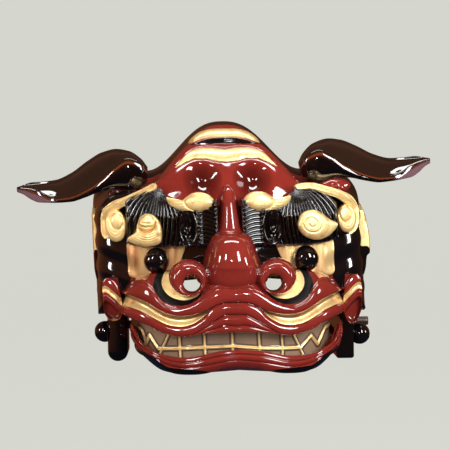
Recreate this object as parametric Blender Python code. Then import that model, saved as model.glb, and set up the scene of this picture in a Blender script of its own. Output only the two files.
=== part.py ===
"""Carved, lacquered lion dance head: a hollow hood with muzzle, nose, brows, eyes and ears, and a swinging jaw.

Sizes are in millimetres and become metres when a mesh is made. The face looks along -Y, +X is on the right of
someone facing it, +Z is up, and the head stands on its chin and its two hinge plates at Z = 0.
"""

import math

import bmesh
import bpy
from mathutils import Matrix, Vector

MM = 0.001

# Fit between touching pieces, and the running fit of what turns.
GAP = 0.3
HOLE_CLEARANCE = 0.4

# How far a cutting shape runs past the face that it opens.
PAST_EDGE = 30.0
MOUTH_DROP = 40.0

# Walls of the hollowed wood.
SKULL_WALL = 9.0
SNOUT_WALL = 9.0
JAW_WALL = 7.0
JAW_FLOOR = 9.0

# The hand-carved head leans a little to one side: a shear of X with height, nil at eye height.
LEAN = -0.035
LEAN_HEIGHT = 120.0

# Hood: one row for each arch from the back rim to the small last arch that closes the face.
SKULL_COLUMNS = ("y", "half_width", "shoulder_z", "hump_half", "hump_power", "crown_z", "foot_z")
SKULL_ARCHES = (
    (150, 140, 196, 90, 1.3, 238, 62),
    (108, 147, 208, 90, 1.3, 258, 57),
    (62, 149, 216, 88, 1.25, 268, 54),
    (22, 149, 213, 87, 1.25, 270, 55),
    (-8, 148, 198, 86, 1.3, 266, 58),
    (-28, 146, 194, 88, 1.5, 257, 62),
    (-43, 143, 193, 92, 1.8, 246, 68),
    (-55, 137, 192, 95, 1.9, 236, 76),
    (-66, 124, 190, 93, 2.2, 223, 84),
    (-76, 100, 183, 80, 2.6, 209, 92),
    (-86, 58, 158, 52, 3.0, 190, 97),
    (-93, 28, 136, 26, 3.0, 164, 100),
    (-97, 12, 120, 12, 3.0, 134, 102),
)
SHOULDER_RADIUS = 32.0
ROOF_STEPS = 7
CORNER_STEPS = 3
LEG_STEPS = 3

# Muzzle: plan curve of the lip line, and the rows of its outer face from the lip up to the roof.
SNOUT_HALF_WIDTH = 121.0
SNOUT_REAR_Y = -40.0
SNOUT_LENGTH = 100.0
PLAN_ROUNDNESS = 0.8
SNOUT_STATIONS = (0, 55, 85, 112, 121)
SNOUT_ROWS = (
    # name, heights at the stations, how far each stands out from the plan curve
    ("lip_bottom", (47, 43, 47, 58, 61), (-4, -4, -4, -3, -3)),
    ("lip_edge", (51, 47, 52, 62, 65), (0, 0, 0, 0, 0)),
    ("channel_low", (58, 53, 58, 75, 78), (1, 0, 0, 0, 0)),
    ("channel_mid", (64, 58, 65, 80, 83), (-2, -6, -6, -4, -2)),
    ("channel_top", (71, 64, 72, 86, 88), (1, 1, 1, 0, 0)),
    ("roll_mid", (84, 84, 88, 93, 94), (2, 6, 4, 1, 0)),
    ("roll_top", (97, 101, 103, 99, 98), (-7, -7, -6, -5, -4)),
    ("roof_front", (107, 107, 106, 102, 101), (-20, -22, -18, -13, -11)),
    ("roof_back", (112, 111, 108, 103, 102), (-42, -42, -36, -26, -22)),
)
SNOUT_HOLLOW_OUTS = (
    # the lip is thick behind its rolled edge, because the teeth are set against it
    (-18, -18, -19, -21, -21),
    (-18, -18, -19, -21, -21),
    (-14, -15, -15, -16, -16),
    (-12, -15, -15, -14, -13),
)
PLAN_STEPS = 12
NOSTRIL = {"x": 42.5, "z": 97.0, "radius": 9.0, "front_y": -170.0, "back_y": -106.0}

# The muzzle is bored wider than the nose, whose wings cover the step.
MUZZLE_BORE_EXTRA = 2.5

# Nose: half ellipses stacked from the brow down to under the bulb.
NOSE_COLUMNS = ("z", "half_width", "front_y")
NOSE_SECTIONS = (
    (198, 7, -97),
    (190, 11, -104),
    (170, 13, -110),
    (156, 16, -115),
    (147, 20, -126),
    (138, 25, -139),
    (127, 28, -149),
    (115, 31, -152),
    (106, 31, -151),
    (99, 23, -147),
    (95, 10, -142),
)
NOSE_BACK_Y = -80.0
NOSE_STEPS = 9
WING = {"x": 45.0, "y": -127.0, "z": 103.0, "radii": (22.0, 17.0, 18.5)}

# Bands of teeth: height of the joint between the rows along the half width.
TEETH_INSET = 17.0
TEETH_DEPTH = 0.09
TEETH_GAP = 1.0
TOOTH_JOINT = ((0, 30), (28, 30), (52, 30), (68, 30.5), (79, 24), (88, 40), (93, 28), (99, 44), (104, 46))
TEETH_BEHIND_LIP = 8.0
LOWER_TEETH_BOTTOM_Z = 11.0

# Jaw: plan curve and rows of the outer face from the flat underside up to the lip.
JAW_SHIFT = 3.0
JAW_HALF_WIDTH = 113.0
JAW_LENGTH = 95.0
JAW_ARM_END_Y = 90.0
JAW_FLOOR_END_Y = 58.0
JAW_STATIONS = (0, 55, 82, 105, 113)
JAW_ROWS = (
    ("underside", (0, 0, 0, 0, 0), (-30, -26, -30, -32, -34)),
    ("chin_edge", (7, 1, 7, 14, 16), (-13, -11, -10, -8, -8)),
    ("chin", (11, 6, 14, 22, 24), (-3, -2, -3, -3, -3)),
    ("lip_ridge", (18, 13, 18, 32, 34), (2, 1, 1, 0, 0)),
    ("lip_groove", (23, 17, 21, 40, 42), (-1, -1, -1, -1, -1)),
    ("lip_top", (28, 20, 24, 48, 50), (-2, -2, -2, -2, -2)),
)

# Jaw rod and the plates that it goes through.
ROD = {"y": 75.0, "z": 38.0, "radius": 5.0, "left_x": -141.0, "right_x": 163.0}
PLATE_Y = (24.0, 98.0)
PLATE_TOP_Z = 98.0
PLATES = (
    # side, inner face, outer face, rounding of the foot
    ("left", -115.0, -138.0, 9.0),
    ("right", 121.0, 141.2, 3.0),
)
KNOB_RADIUS = 12.0
KNOBS = (
    # side, centre x, y, z
    ("left", -141.0, 40.0, 33.5),
    ("right", 149.0, 40.0, 26.5),
)

# Carved relief of the face, as seen from the front (x, z) on the right side; the left is its mirror image.
BROW_OUTLINE = (
    (14, 150), (14, 172.5), (28, 172.5), (46, 172), (58, 173.5), (66, 180), (72, 194), (84, 192.5),
    (98, 188), (112, 180), (114, 168), (104, 158), (92, 142), (78, 135), (60, 134), (44, 134), (26, 134.5),
)
BROW_CENTRE = (56, 157)
# Depth of a relief's front edge: its value on the middle plane and how much it falls back per mm outwards.
BROW_FACE = (-120.0, 0.29)
EYELID_FACE = (-112.0, 0.16)
CURL_FACE = (-122.0, 0.2)
CURL_SEAT_SCALE = 1.025
EYELID_OUTLINE = (
    (13, 186), (21, 192.5), (32, 194), (42, 191.5), (50, 187), (62, 189), (61, 181), (52, 175.5),
    (38, 174), (26, 174.5), (17, 178),
)
EYELID_CENTRE = (36, 183)
CURL_OUTLINES = {
    "left": ((-71, 147), (-74, 161), (-86, 168), (-99, 159), (-102, 150), (-109, 142), (-100, 137.5),
             (-86, 135), (-75, 138.5)),
    "right": ((71, 157), (77, 168), (90, 172), (104, 165), (113, 155), (105, 144), (91, 139.5), (80, 143),
              (73, 149)),
}
TRIM_COLUMNS = ("x", "low_z", "high_z", "front_y")
TRIM_SECTIONS = (
    (72, 195.5, 201.5, -96),
    (85, 194, 200, -93),
    (102, 189.5, 196, -88),
    (118, 182, 190, -80),
    (130, 172, 184, -73),
    (136, 164, 177, -68),
)
TRIM_BACK_Y = -54.0
TRIM_EASE = 2.0
OUTER_CURL = {"x": 127.5, "z": 160.5, "radii": (11.5, 15.0), "steps": 14, "face": (-124.25, 0.35)}
EYE_OUTLINE = ((49, 132.5), (53, 121), (59, 109), (66, 103), (86, 102), (107, 103), (109, 118), (108, 132.5))
EYE_CENTRE = (80, 118)
EYE_PLATE_PROUD = 5.0
PUPIL = {"x": 79.0, "y": -84.0, "z": 119.5, "radius": 12.0}
FOLD_OUTLINE = ((119, 72), (121, 84), (127, 91), (132, 93.5), (137, 90), (140, 78), (140, 56), (129, 55), (121, 62))
FOLD_CENTRE = (130, 74)
FOLD_FACE = (-72.0, 0.0)
FOLD_HOLLOW = {"x": 131.0, "z": 70.0, "scale": 0.55, "front_y": -90.0, "back_y": -65.0}

# Carved hair panels on the sides.
SIDE_HAIR = {"x": (120.0, 175.0), "y": (-26.0, 44.0), "z": (97.0, 176.0), "rounding": 12.0}
SIDE_HAIR_PROUD = {"left": 4.0, "right": 9.0}

# Ear, with its hinge at the origin: distance outwards, then heights and depths of its edges.
EAR_COLUMNS = ("out", "back_z", "front_z", "under_z", "back_y", "front_y", "thick")
EAR_SECTIONS = (
    (-11, 13, 9, 0, 12, -17, 6),
    (-4, 22, 16, -5, 15, -20, 7),
    (10, 31, 20, -9, 20, -22, 7),
    (24, 34, 12, -8, 23, -22, 6),
    (40, 31, -1, -11, 25, -21, 5),
    (56, 22, -11, -17, 26, -18, 4.5),
    (74, 9, -18, -22, 25, -14, 4),
    (92, 1, -20, -23, 21, -10, 4),
    (110, -1, -16, -20, 14, -6, 4),
    (124, -2, -10, -13, 7, -2, 3.5),
    (133, -5, -7.5, -9, 3, 0, 3),
)
EARS = (
    # side, hinge x, y, z, lift of the blade in degrees
    ("left", -100.0, -14.0, 204.0, 0.0),
    ("right", 91.6, -14.0, 209.0, 9.0),
)
EAR_PIN = {"radius": 2.5, "front_y": -30.0, "back_y": 36.0}
PIN_SIDES = 12
EAR_BOW = 0.14
EAR_FLOOR_BOW = 0.6
EAR_UNDER_SET_BACK = 2.0
EAR_BOSSES = (
    # side, centre, radii
    ("left", (-119.0, -26.0, 190.0), (13.0, 14.0, 7.0)),
    ("right", (119.0, -26.0, 195.0), (18.0, 14.0, 11.0)),
)

RED_LACQUER = ("red_lacquer", (0.45, 0.05, 0.03), 0.2, 0.0)
BLACK_LACQUER = ("black_lacquer", (0.012, 0.008, 0.007), 0.15, 0.0)
GOLD_LEAF = ("gold_leaf", (0.85, 0.58, 0.25), 0.35, 0.8)
TOOTH_GOLD = ("tooth_gold", (0.35, 0.23, 0.12), 0.4, 0.7)
PLAIN_WOOD = ("plain_wood", (0.20, 0.11, 0.06), 0.6, 0.0)


def clear_scene():
    """Empties the file that the script starts in."""
    for thing in list(bpy.data.objects):
        bpy.data.objects.remove(thing, do_unlink=True)


def new_collection(name):
    """A collection under the scene's own."""
    group = bpy.data.collections.new(name)
    bpy.context.scene.collection.children.link(group)
    return group


def finish_of(finish):
    """The Principled material of a finish, made once."""
    name, colour, roughness, metallic = finish
    material = bpy.data.materials.get(name)
    if material is None:
        material = bpy.data.materials.new(name)
        material.use_nodes = True
        shader = material.node_tree.nodes["Principled BSDF"]
        shader.inputs["Base Color"].default_value = (*colour, 1.0)
        shader.inputs["Roughness"].default_value = roughness
        shader.inputs["Metallic"].default_value = metallic
    return material


def row_of(columns, row):
    """One row of a table by its column names."""
    return dict(zip(columns, row))


def between(stations, values, at):
    """Straight-line reading of a short table."""
    if at <= stations[0]:
        return values[0]
    for (x0, v0), (x1, v1) in zip(zip(stations, values), zip(stations[1:], values[1:])):
        if at <= x1:
            return v0 + (v1 - v0) * (at - x0) / (x1 - x0)
    return values[-1]


def leaned(x, y, z):
    """A point of the head in metres, with the carving's lean."""
    return Vector((x + LEAN * (z - LEAN_HEIGHT), y, z)) * MM


def add_mesh(name, mesh, group, finish=None, angle=35.0):
    """Puts a bmesh in an object of its own, smooth shaded apart from its sharp edges."""
    bmesh.ops.recalc_face_normals(mesh, faces=mesh.faces)
    data = bpy.data.meshes.new(name)
    mesh.to_mesh(data)
    mesh.free()
    data.shade_smooth()
    data.set_sharp_from_angle(angle=math.radians(angle))
    thing = bpy.data.objects.new(name, data)
    group.objects.link(thing)
    if finish is not None:
        data.materials.append(finish_of(finish))
    else:
        thing.hide_render = True
        thing.display_type = "WIRE"
    return thing


def loft(rings):
    """A closed solid through rings of equal count, split the same way in every copy and capped at both ends."""
    mesh = bmesh.new()
    rows = [[mesh.verts.new(point) for point in ring] for ring in rings]
    count = len(rows[0])
    for low, high in zip(rows, rows[1:]):
        for i in range(count):
            j = (i + 1) % count
            mesh.faces.new((low[i], low[j], high[j]))
            mesh.faces.new((low[i], high[j], high[i]))
    mesh.faces.new(rows[0])
    mesh.faces.new(rows[-1])
    bmesh.ops.triangulate(mesh, faces=[f for f in mesh.faces if len(f.verts) > 4])
    return mesh


def boolean(thing, tool, operation="DIFFERENCE", solver="EXACT"):
    """A live Boolean; the hood needs the manifold solver, because the exact one loses its thin front."""
    cut = thing.modifiers.new(tool.name, "BOOLEAN")
    cut.operation = operation
    cut.solver = solver
    cut.object = tool
    return cut


def arch_points(arch, grow):
    """The inverted U of one arch of the hood, from the left foot over the roof to the right foot."""
    width = arch["half_width"] + grow
    shoulder = arch["shoulder_z"] + grow
    crown = arch["crown_z"] + grow
    radius = min(SHOULDER_RADIUS, 0.45 * width)

    def roof(x):
        reach = min(1.0, abs(x) / (arch["hump_half"] + grow))
        return shoulder + (crown - shoulder) * math.cos(math.pi / 2 * reach ** arch["hump_power"]) ** 2

    columns = [(width - radius) * i / ROOF_STEPS for i in range(ROOF_STEPS + 1)]
    half = [(x, roof(x)) for x in columns]
    for i in range(1, CORNER_STEPS + 1):
        turn = math.pi / 2 * i / CORNER_STEPS
        x = width - radius + radius * math.sin(turn)
        half.append((x, roof(x) - radius * (1 - math.cos(turn))))
    low = half[-1][1]
    half += [(width, low + (arch["foot_z"] - low) * i / LEG_STEPS) for i in range(1, LEG_STEPS + 1)]
    return [(-x, z) for x, z in reversed(half[1:])] + half


def skull_core(name, group, grow=0.0, past_rim=0.0, below_foot=0.0, finish=None):
    """The hood filled to its outer face; grow moves that face outwards, or inwards where it is negative."""
    rings = []
    arches = [row_of(SKULL_COLUMNS, row) for row in SKULL_ARCHES]
    for i, arch in enumerate(arches):
        y = arch["y"] + (past_rim if i == 0 else 0.0)
        forward = grow * max(0.0, min(1.0, (40.0 - arch["y"]) / 100.0))
        if arch["half_width"] + grow < 6 or arch["crown_z"] + grow < arch["foot_z"] + 12:
            continue
        arch["foot_z"] -= below_foot
        rings.append([leaned(x, y - forward, z) for x, z in arch_points(arch, grow)])
    return add_mesh(name, loft(rings), group, finish)


def plan_points(half_width, rear_y, length, leg_end_y=None):
    """The muzzle's or jaw's plan curve from the right rear round the front to the left, with its normals."""
    points = []
    if leg_end_y is not None:
        points += [(half_width, leg_end_y), (half_width, (leg_end_y + rear_y) / 2)]
    for i in range(2 * PLAN_STEPS + 1):
        turn = math.pi / 2 * (1 - i / PLAN_STEPS)
        x = half_width * math.copysign(abs(math.sin(turn)) ** PLAN_ROUNDNESS, turn)
        y = rear_y - length * abs(math.cos(turn)) ** PLAN_ROUNDNESS
        points.append((x, y))
    if leg_end_y is not None:
        points += [(-half_width, (leg_end_y + rear_y) / 2), (-half_width, leg_end_y)]
    curve = []
    for i, (x, y) in enumerate(points):
        before = points[max(i - 1, 0)]
        after = points[min(i + 1, len(points) - 1)]
        along = Vector((after[0] - before[0], after[1] - before[1])).normalized()
        curve.append((x, y, -along.y, along.x))
    return curve


def plan_ring(curve, stations, heights, outs, grow, shift=0.0, past_rear=0.0):
    """One level of the muzzle or jaw: the plan curve moved along its normals, at the heights of a row."""
    ring = []
    for i, (x, y, nx, ny) in enumerate(curve):
        at = abs(x)
        out = between(stations, outs, at) + grow
        end = past_rear if i in (0, len(curve) - 1) else 0.0
        ring.append(leaned(x + shift + nx * out, y + ny * out + end, between(stations, heights, at)))
    return ring


def snout_core(name, group, grow=0.0, finish=None):
    """The muzzle filled to its outer face."""
    curve = plan_points(SNOUT_HALF_WIDTH, SNOUT_REAR_Y, SNOUT_LENGTH)
    rings = []
    for number, (_, heights, outs) in enumerate(SNOUT_ROWS):
        lift = grow * max(0.0, (number - 5) / 3)
        levels = [z + lift for z in heights]
        rings.append(plan_ring(curve, SNOUT_STATIONS, levels, outs, grow, past_rear=grow))
    return add_mesh(name, loft(rings), group, finish)


def snout_hollow(name, group, play=0.0):
    """The room inside the muzzle, out through the mouth and the back; play makes it tighter."""
    curve = plan_points(SNOUT_HALF_WIDTH, SNOUT_REAR_Y, SNOUT_LENGTH)
    rings = []
    for number, (_, heights, outs) in enumerate(SNOUT_ROWS):
        if number < len(SNOUT_HOLLOW_OUTS):
            inner = SNOUT_HOLLOW_OUTS[number]
        else:
            inner = [out - SNOUT_WALL for out in outs]
        move = -SNOUT_WALL * max(0.0, (number - 5) / 3) - (MOUTH_DROP if number == 0 else 0.0)
        levels = [z + move for z in heights]
        rings.append(plan_ring(curve, SNOUT_STATIONS, levels, inner, -play, past_rear=PAST_EDGE))
    return add_mesh(name, loft(rings), group)


def jaw_core(name, group, grow=0.0, floor_lift=0.0, above=0.0, past_rear=0.0, finish=None):
    """The jaw filled to its outer face; the inner core starts at the floor's top and runs out of the mouth."""
    curve = plan_points(JAW_HALF_WIDTH, SNOUT_REAR_Y, JAW_LENGTH, JAW_ARM_END_Y)
    rings = []
    for number, (_, heights, outs) in enumerate(JAW_ROWS):
        raised = above if number == len(JAW_ROWS) - 1 else 0.0
        levels = [max(z, floor_lift) + raised + 0.4 * number * (floor_lift > 0) for z in heights]
        rings.append(plan_ring(curve, JAW_STATIONS, levels, outs, grow, JAW_SHIFT, past_rear))
    return add_mesh(name, loft(rings), group, finish)


def box(name, group, low, high, finish=None, bevel=0.0, segments=3):
    """A block between two corners, with its edges rounded where a size is given."""
    mesh = bmesh.new()
    bmesh.ops.create_cube(mesh, size=1.0)
    size = [b - a for a, b in zip(low, high)]
    middle = [(a + b) / 2 for a, b in zip(low, high)]
    bmesh.ops.scale(mesh, vec=[s * MM for s in size], verts=mesh.verts)
    bmesh.ops.translate(mesh, vec=[m * MM for m in middle], verts=mesh.verts)
    if bevel:
        bmesh.ops.bevel(
            mesh, geom=mesh.edges[:], offset=bevel * MM, segments=segments, profile=0.5, affect="EDGES", material=-1
        )
    return add_mesh(name, mesh, group, finish)


def cylinder(name, group, axis, start, end, centre, radius, finish=None, sides=16):
    """A round bar along X or Y from start to end; centre holds the other two coordinates."""
    mesh = bmesh.new()
    bmesh.ops.create_cone(
        mesh, cap_ends=True, segments=sides, radius1=radius * MM, radius2=radius * MM, depth=abs(end - start) * MM
    )
    middle = (start + end) / 2
    if axis == "X":
        turn, place = Matrix.Rotation(math.pi / 2, 4, "Y"), (middle, centre[0], centre[1])
    else:
        turn, place = Matrix.Rotation(math.pi / 2, 4, "X"), (centre[0], middle, centre[1])
    bmesh.ops.transform(mesh, matrix=Matrix.Translation(Vector(place) * MM) @ turn, verts=mesh.verts)
    return add_mesh(name, mesh, group, finish)


def ellipsoid(name, group, centre, radii, finish=None, across=16, up=10):
    """A ball stretched to three radii."""
    mesh = bmesh.new()
    bmesh.ops.create_uvsphere(mesh, u_segments=across, v_segments=up, radius=1.0)
    bmesh.ops.scale(mesh, vec=[r * MM for r in radii], verts=mesh.verts)
    bmesh.ops.translate(mesh, vec=Vector(centre) * MM, verts=mesh.verts)
    return add_mesh(name, mesh, group, finish)


def relief(name, group, outline, centre, face, finish=None, back_y=-45.0, mirror=False, crown=2.0):
    """A carved cushion with an outline seen from the front; face is its front edge's depth and slope."""
    side = -1.0 if mirror else 1.0
    levels = ((1.0, None), (1.0, 10.0), (0.9, 3.0), (0.6, -0.5 * crown), (0.25, -crown))
    rings = []
    for shrink, sink in levels:
        ring = []
        for x, z in outline:
            px = centre[0] + (x - centre[0]) * shrink
            pz = centre[1] + (z - centre[1]) * shrink
            y = back_y if sink is None else face[0] + face[1] * abs(px) + sink
            ring.append(leaned(side * px, y, pz))
        rings.append(ring)
    return add_mesh(name, loft(rings), group, finish)


def make_skull(parts, tools):
    skull = skull_core("skull", parts, finish=RED_LACQUER)
    hollow = skull_core("skull_hollow", tools, -SKULL_WALL, PAST_EDGE, PAST_EDGE)
    boolean(skull, hollow, solver="MANIFOLD")
    boolean(skull, tools.objects["snout_seat"], solver="MANIFOLD")
    for side, x, y, z, _ in EARS:
        hole = cylinder(
            f"pin_hole_{side}", tools, "Y", EAR_PIN["front_y"] - GAP, EAR_PIN["back_y"] + GAP, (x, z),
            EAR_PIN["radius"] + GAP, sides=PIN_SIDES,
        )
        boolean(skull, hole, solver="MANIFOLD")
    return skull


def make_snout(parts, tools):
    snout = snout_core("snout", parts, finish=RED_LACQUER)
    boolean(snout, snout_hollow("snout_room", tools))
    for tool in nostril_drills("muzzle_drill", tools, NOSTRIL["radius"] + MUZZLE_BORE_EXTRA):
        boolean(snout, tool)
    return snout


def nostril_drills(name, tools, radius):
    """The drills of the two nostrils."""
    return [
        cylinder(
            f"{name}_{side}", tools, "Y", NOSTRIL["front_y"], NOSTRIL["back_y"], (sign * NOSTRIL["x"], NOSTRIL["z"]),
            radius, sides=20,
        )
        for side, sign in (("left", -1.0), ("right", 1.0))
    ]


def nose_block(name, group, grow=0.0, finish=None):
    """The bridge and bulb, stacked from half ellipses; grow moves their sides and front outwards."""
    rings = []
    for section in (row_of(NOSE_COLUMNS, row) for row in NOSE_SECTIONS):
        depth = NOSE_BACK_Y - section["front_y"] + grow
        width = section["half_width"] + grow
        ring = [leaned(-width, NOSE_BACK_Y, section["z"])]
        for i in range(1, NOSE_STEPS):
            turn = math.pi * i / NOSE_STEPS
            x = -width * math.copysign(abs(math.cos(turn)) ** 0.8, math.cos(turn))
            ring.append(leaned(x, NOSE_BACK_Y - depth * math.sin(turn) ** 0.7, section["z"]))
        ring.append(leaned(width, NOSE_BACK_Y, section["z"]))
        rings.append(ring)
    return add_mesh(name, loft(rings), group, finish)


def make_nose(parts, tools):
    nose = nose_block("nose", parts, finish=RED_LACQUER)
    for side, sign in (("left", -1.0), ("right", 1.0)):
        centre = (sign * WING["x"], WING["y"], WING["z"])
        wing = ellipsoid(f"wing_{side}", tools, centre, WING["radii"], across=14, up=8)
        boolean(nose, wing, "UNION", "MANIFOLD")
    boolean(nose, tools.objects["skull_seat"], solver="MANIFOLD")
    boolean(nose, tools.objects["snout_seat"], solver="MANIFOLD")
    for tool in nostril_drills("nose_drill", tools, NOSTRIL["radius"]):
        boolean(nose, tool, solver="MANIFOLD")
    return nose


def tooth_band(name, parts, low_edge, high_edge):
    """A U of teeth as a band with the plan of the lip; its edges depend on the distance from the middle."""
    stations = sorted({at for at, _ in TOOTH_JOINT} | {14.0, 40.0, 60.0, 73.5, 83.5, 96.0})
    curve = plan_points(SNOUT_HALF_WIDTH - TEETH_INSET, SNOUT_REAR_Y, SNOUT_LENGTH - TEETH_INSET)
    half = sorted(((x, y) for x, y, _, _ in curve if x >= 0), key=lambda point: point[0])
    xs, ys = [x for x, _ in half], [y for _, y in half]
    signed = [-at for at in reversed(stations[1:])] + stations
    path = [(x, between(xs, ys, abs(x))) for x in signed]
    rings = []
    for x, y in path:
        inner = (x * (1 - TEETH_DEPTH), SNOUT_REAR_Y + (y - SNOUT_REAR_Y) * (1 - TEETH_DEPTH))
        low, high = low_edge(abs(x)), high_edge(abs(x))
        rings.append(
            [leaned(x, y, low), leaned(x, y, high), leaned(*inner, high), leaned(*inner, low)]
        )
    return add_mesh(name, loft(rings), parts, TOOTH_GOLD)


def joint_height(at):
    """Height of the bite between the two rows of teeth."""
    return between([a for a, _ in TOOTH_JOINT], [z for _, z in TOOTH_JOINT], at)


def make_teeth(parts, tools):
    lip = SNOUT_ROWS[0][1]
    upper = tooth_band(
        "upper_teeth",
        parts,
        lambda at: joint_height(at) + TEETH_GAP,
        lambda at: between(SNOUT_STATIONS, lip, at) + TEETH_BEHIND_LIP,
    )
    boolean(upper, snout_hollow("upper_teeth_room", tools, GAP), "INTERSECT")
    lower = tooth_band("lower_teeth", parts, lambda at: LOWER_TEETH_BOTTOM_Z, joint_height)
    room = jaw_core("lower_teeth_room", tools, -JAW_WALL - GAP, JAW_FLOOR + GAP, MOUTH_DROP, PAST_EDGE)
    boolean(lower, room, "INTERSECT")
    swing_on_rod(lower)


def make_jaw(parts, tools):
    jaw = jaw_core("jaw", parts, finish=RED_LACQUER)
    boolean(jaw, jaw_core("jaw_hollow", tools, -JAW_WALL, JAW_FLOOR, MOUTH_DROP, PAST_EDGE))
    reach = JAW_HALF_WIDTH - JAW_WALL
    low = (JAW_SHIFT - reach, JAW_FLOOR_END_Y, -PAST_EDGE)
    high = (JAW_SHIFT + reach, JAW_ARM_END_Y + PAST_EDGE, JAW_ROWS[-1][1][-1] + PAST_EDGE)
    boolean(jaw, box("jaw_floor_cut", tools, low, high))
    boolean(jaw, rod_bar("jaw_rod_hole", tools, HOLE_CLEARANCE, PAST_EDGE))
    swing_on_rod(jaw)
    return jaw


def rod_bar(name, group, grow=0.0, past_ends=0.0, finish=None):
    """The jaw's rod, or the hole for it."""
    return cylinder(
        name, group, "X", ROD["left_x"] - past_ends, ROD["right_x"] + past_ends, (ROD["y"], ROD["z"]),
        ROD["radius"] + grow, finish,
    )


def swing_on_rod(thing):
    """Puts an object's origin on the rod that it swings on, where its mesh stays."""
    place = Vector((0.0, ROD["y"], ROD["z"])) * MM
    thing.data.transform(Matrix.Translation(-place))
    thing.location = place


def make_hinge(parts, tools):
    """Plates, rod and knobs at the back."""
    rod_bar("hinge_rod", parts, finish=PLAIN_WOOD)
    rod_hole = rod_bar("plate_rod_hole", tools, GAP, PAST_EDGE)
    wall_seat = skull_core("wall_seat", tools, GAP, PAST_EDGE)
    wall_room = skull_core("wall_room", tools, -SKULL_WALL - GAP, 2 * PAST_EDGE, PAST_EDGE)
    boolean(wall_seat, wall_room, solver="MANIFOLD")
    for side, inner, outer, rounding in PLATES:
        low = (min(inner, outer), PLATE_Y[0], 0.0)
        high = (max(inner, outer), PLATE_Y[1], PLATE_TOP_Z)
        plate = box(f"hinge_plate_{side}", parts, low, high, BLACK_LACQUER, rounding, 2)
        boolean(plate, wall_seat, solver="MANIFOLD")
        boolean(plate, rod_hole)
    for (side, x, y, z), (_, _, outer, _) in zip(KNOBS, PLATES):
        knob = ellipsoid(f"hinge_knob_{side}", parts, (x, y, z), (KNOB_RADIUS,) * 3, BLACK_LACQUER, 14, 8)
        sign = math.copysign(1.0, outer)
        seat = outer + sign * GAP
        edges = sorted((seat, seat - sign * PAST_EDGE))
        low = (edges[0], y - PAST_EDGE, z - PAST_EDGE)
        high = (edges[1], y + PAST_EDGE, z + PAST_EDGE)
        boolean(knob, box(f"knob_seat_{side}", tools, low, high))


def make_relief(parts, tools):
    """Brows, lids, trims, curls, eyes and cheek folds of both sides."""
    skull_seat, snout_seat = tools.objects["skull_seat"], tools.objects["snout_seat"]
    nose_seat = nose_block("nose_seat", tools, 2 * GAP)
    plate_seat = skull_core("plate_face", tools, EYE_PLATE_PROUD)
    pupil_seat = skull_core("pupil_seat", tools, EYE_PLATE_PROUD + GAP)
    for side, mirror in (("left", True), ("right", False)):
        sign = -1.0 if mirror else 1.0
        brow = relief(
            f"brow_{side}", parts, BROW_OUTLINE, BROW_CENTRE, BROW_FACE, BLACK_LACQUER, mirror=mirror
        )
        curl_outline = CURL_OUTLINES[side]
        curl_centre = tuple(sum(values) / len(curl_outline) for values in zip(*curl_outline))
        boolean(brow, skull_seat)
        boolean(brow, prism(f"curl_cut_{side}", tools, curl_outline, curl_centre, CURL_SEAT_SCALE))
        boolean(brow, nose_seat)
        curl = relief(f"brow_curl_{side}", parts, curl_outline, curl_centre, CURL_FACE, GOLD_LEAF)
        boolean(curl, skull_seat)
        lid = relief(
            f"eyelid_{side}", parts, EYELID_OUTLINE, EYELID_CENTRE, EYELID_FACE, GOLD_LEAF, mirror=mirror
        )
        boolean(lid, skull_seat)
        boolean(lid, nose_seat)
        make_trim(side, sign, parts, tools)
        make_eye(side, sign, parts, tools, plate_seat, pupil_seat)
        fold = relief(
            f"cheek_fold_{side}", parts, FOLD_OUTLINE, FOLD_CENTRE, FOLD_FACE, RED_LACQUER, -25.0, mirror, crown=0.0
        )
        boolean(fold, skull_seat)
        boolean(fold, snout_seat)
        outline = [(sign * x, z) for x, z in FOLD_OUTLINE]
        centre = (sign * FOLD_HOLLOW["x"], FOLD_HOLLOW["z"])
        reach = (FOLD_HOLLOW["front_y"], FOLD_HOLLOW["back_y"])
        boolean(fold, prism(f"fold_hollow_{side}", tools, outline, centre, FOLD_HOLLOW["scale"], *reach))


def prism(name, group, outline, centre, scale, front_y=-170.0, back_y=-20.0, finish=None):
    """A straight prism along Y through an outline seen from the front."""
    rings = []
    for y in (back_y, front_y):
        rings.append(
            [
                leaned(centre[0] + (x - centre[0]) * scale, y, centre[1] + (z - centre[1]) * scale)
                for x, z in outline
            ]
        )
    return add_mesh(name, loft(rings), group, finish)


def make_trim(side, sign, parts, tools):
    """The band over the brow, with the curl at its outer end."""
    rings = []
    for section in (row_of(TRIM_COLUMNS, row) for row in TRIM_SECTIONS):
        x, low, high, front = section["x"] * sign, section["low_z"], section["high_z"], section["front_y"]
        ease = 0.25 * (high - low)
        rings.append(
            [
                leaned(x, TRIM_BACK_Y, low),
                leaned(x, front + TRIM_EASE, low),
                leaned(x, front, low + ease),
                leaned(x, front, high - ease),
                leaned(x, front + TRIM_EASE, high),
                leaned(x, TRIM_BACK_Y, high),
            ]
        )
    trim = add_mesh(f"brow_trim_{side}", loft(rings), parts, GOLD_LEAF)
    centre = (OUTER_CURL["x"], OUTER_CURL["z"])
    outline = []
    for i in range(OUTER_CURL["steps"]):
        turn = 2 * math.pi * i / OUTER_CURL["steps"]
        x = centre[0] + OUTER_CURL["radii"][0] * math.cos(turn)
        outline.append((x, centre[1] + OUTER_CURL["radii"][1] * math.sin(turn)))
    curl = relief(
        f"outer_curl_{side}", tools, outline, centre, OUTER_CURL["face"], back_y=-20.0, mirror=sign < 0
    )
    boolean(trim, curl, "UNION")
    boolean(trim, tools.objects["skull_seat"])
    return trim


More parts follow.
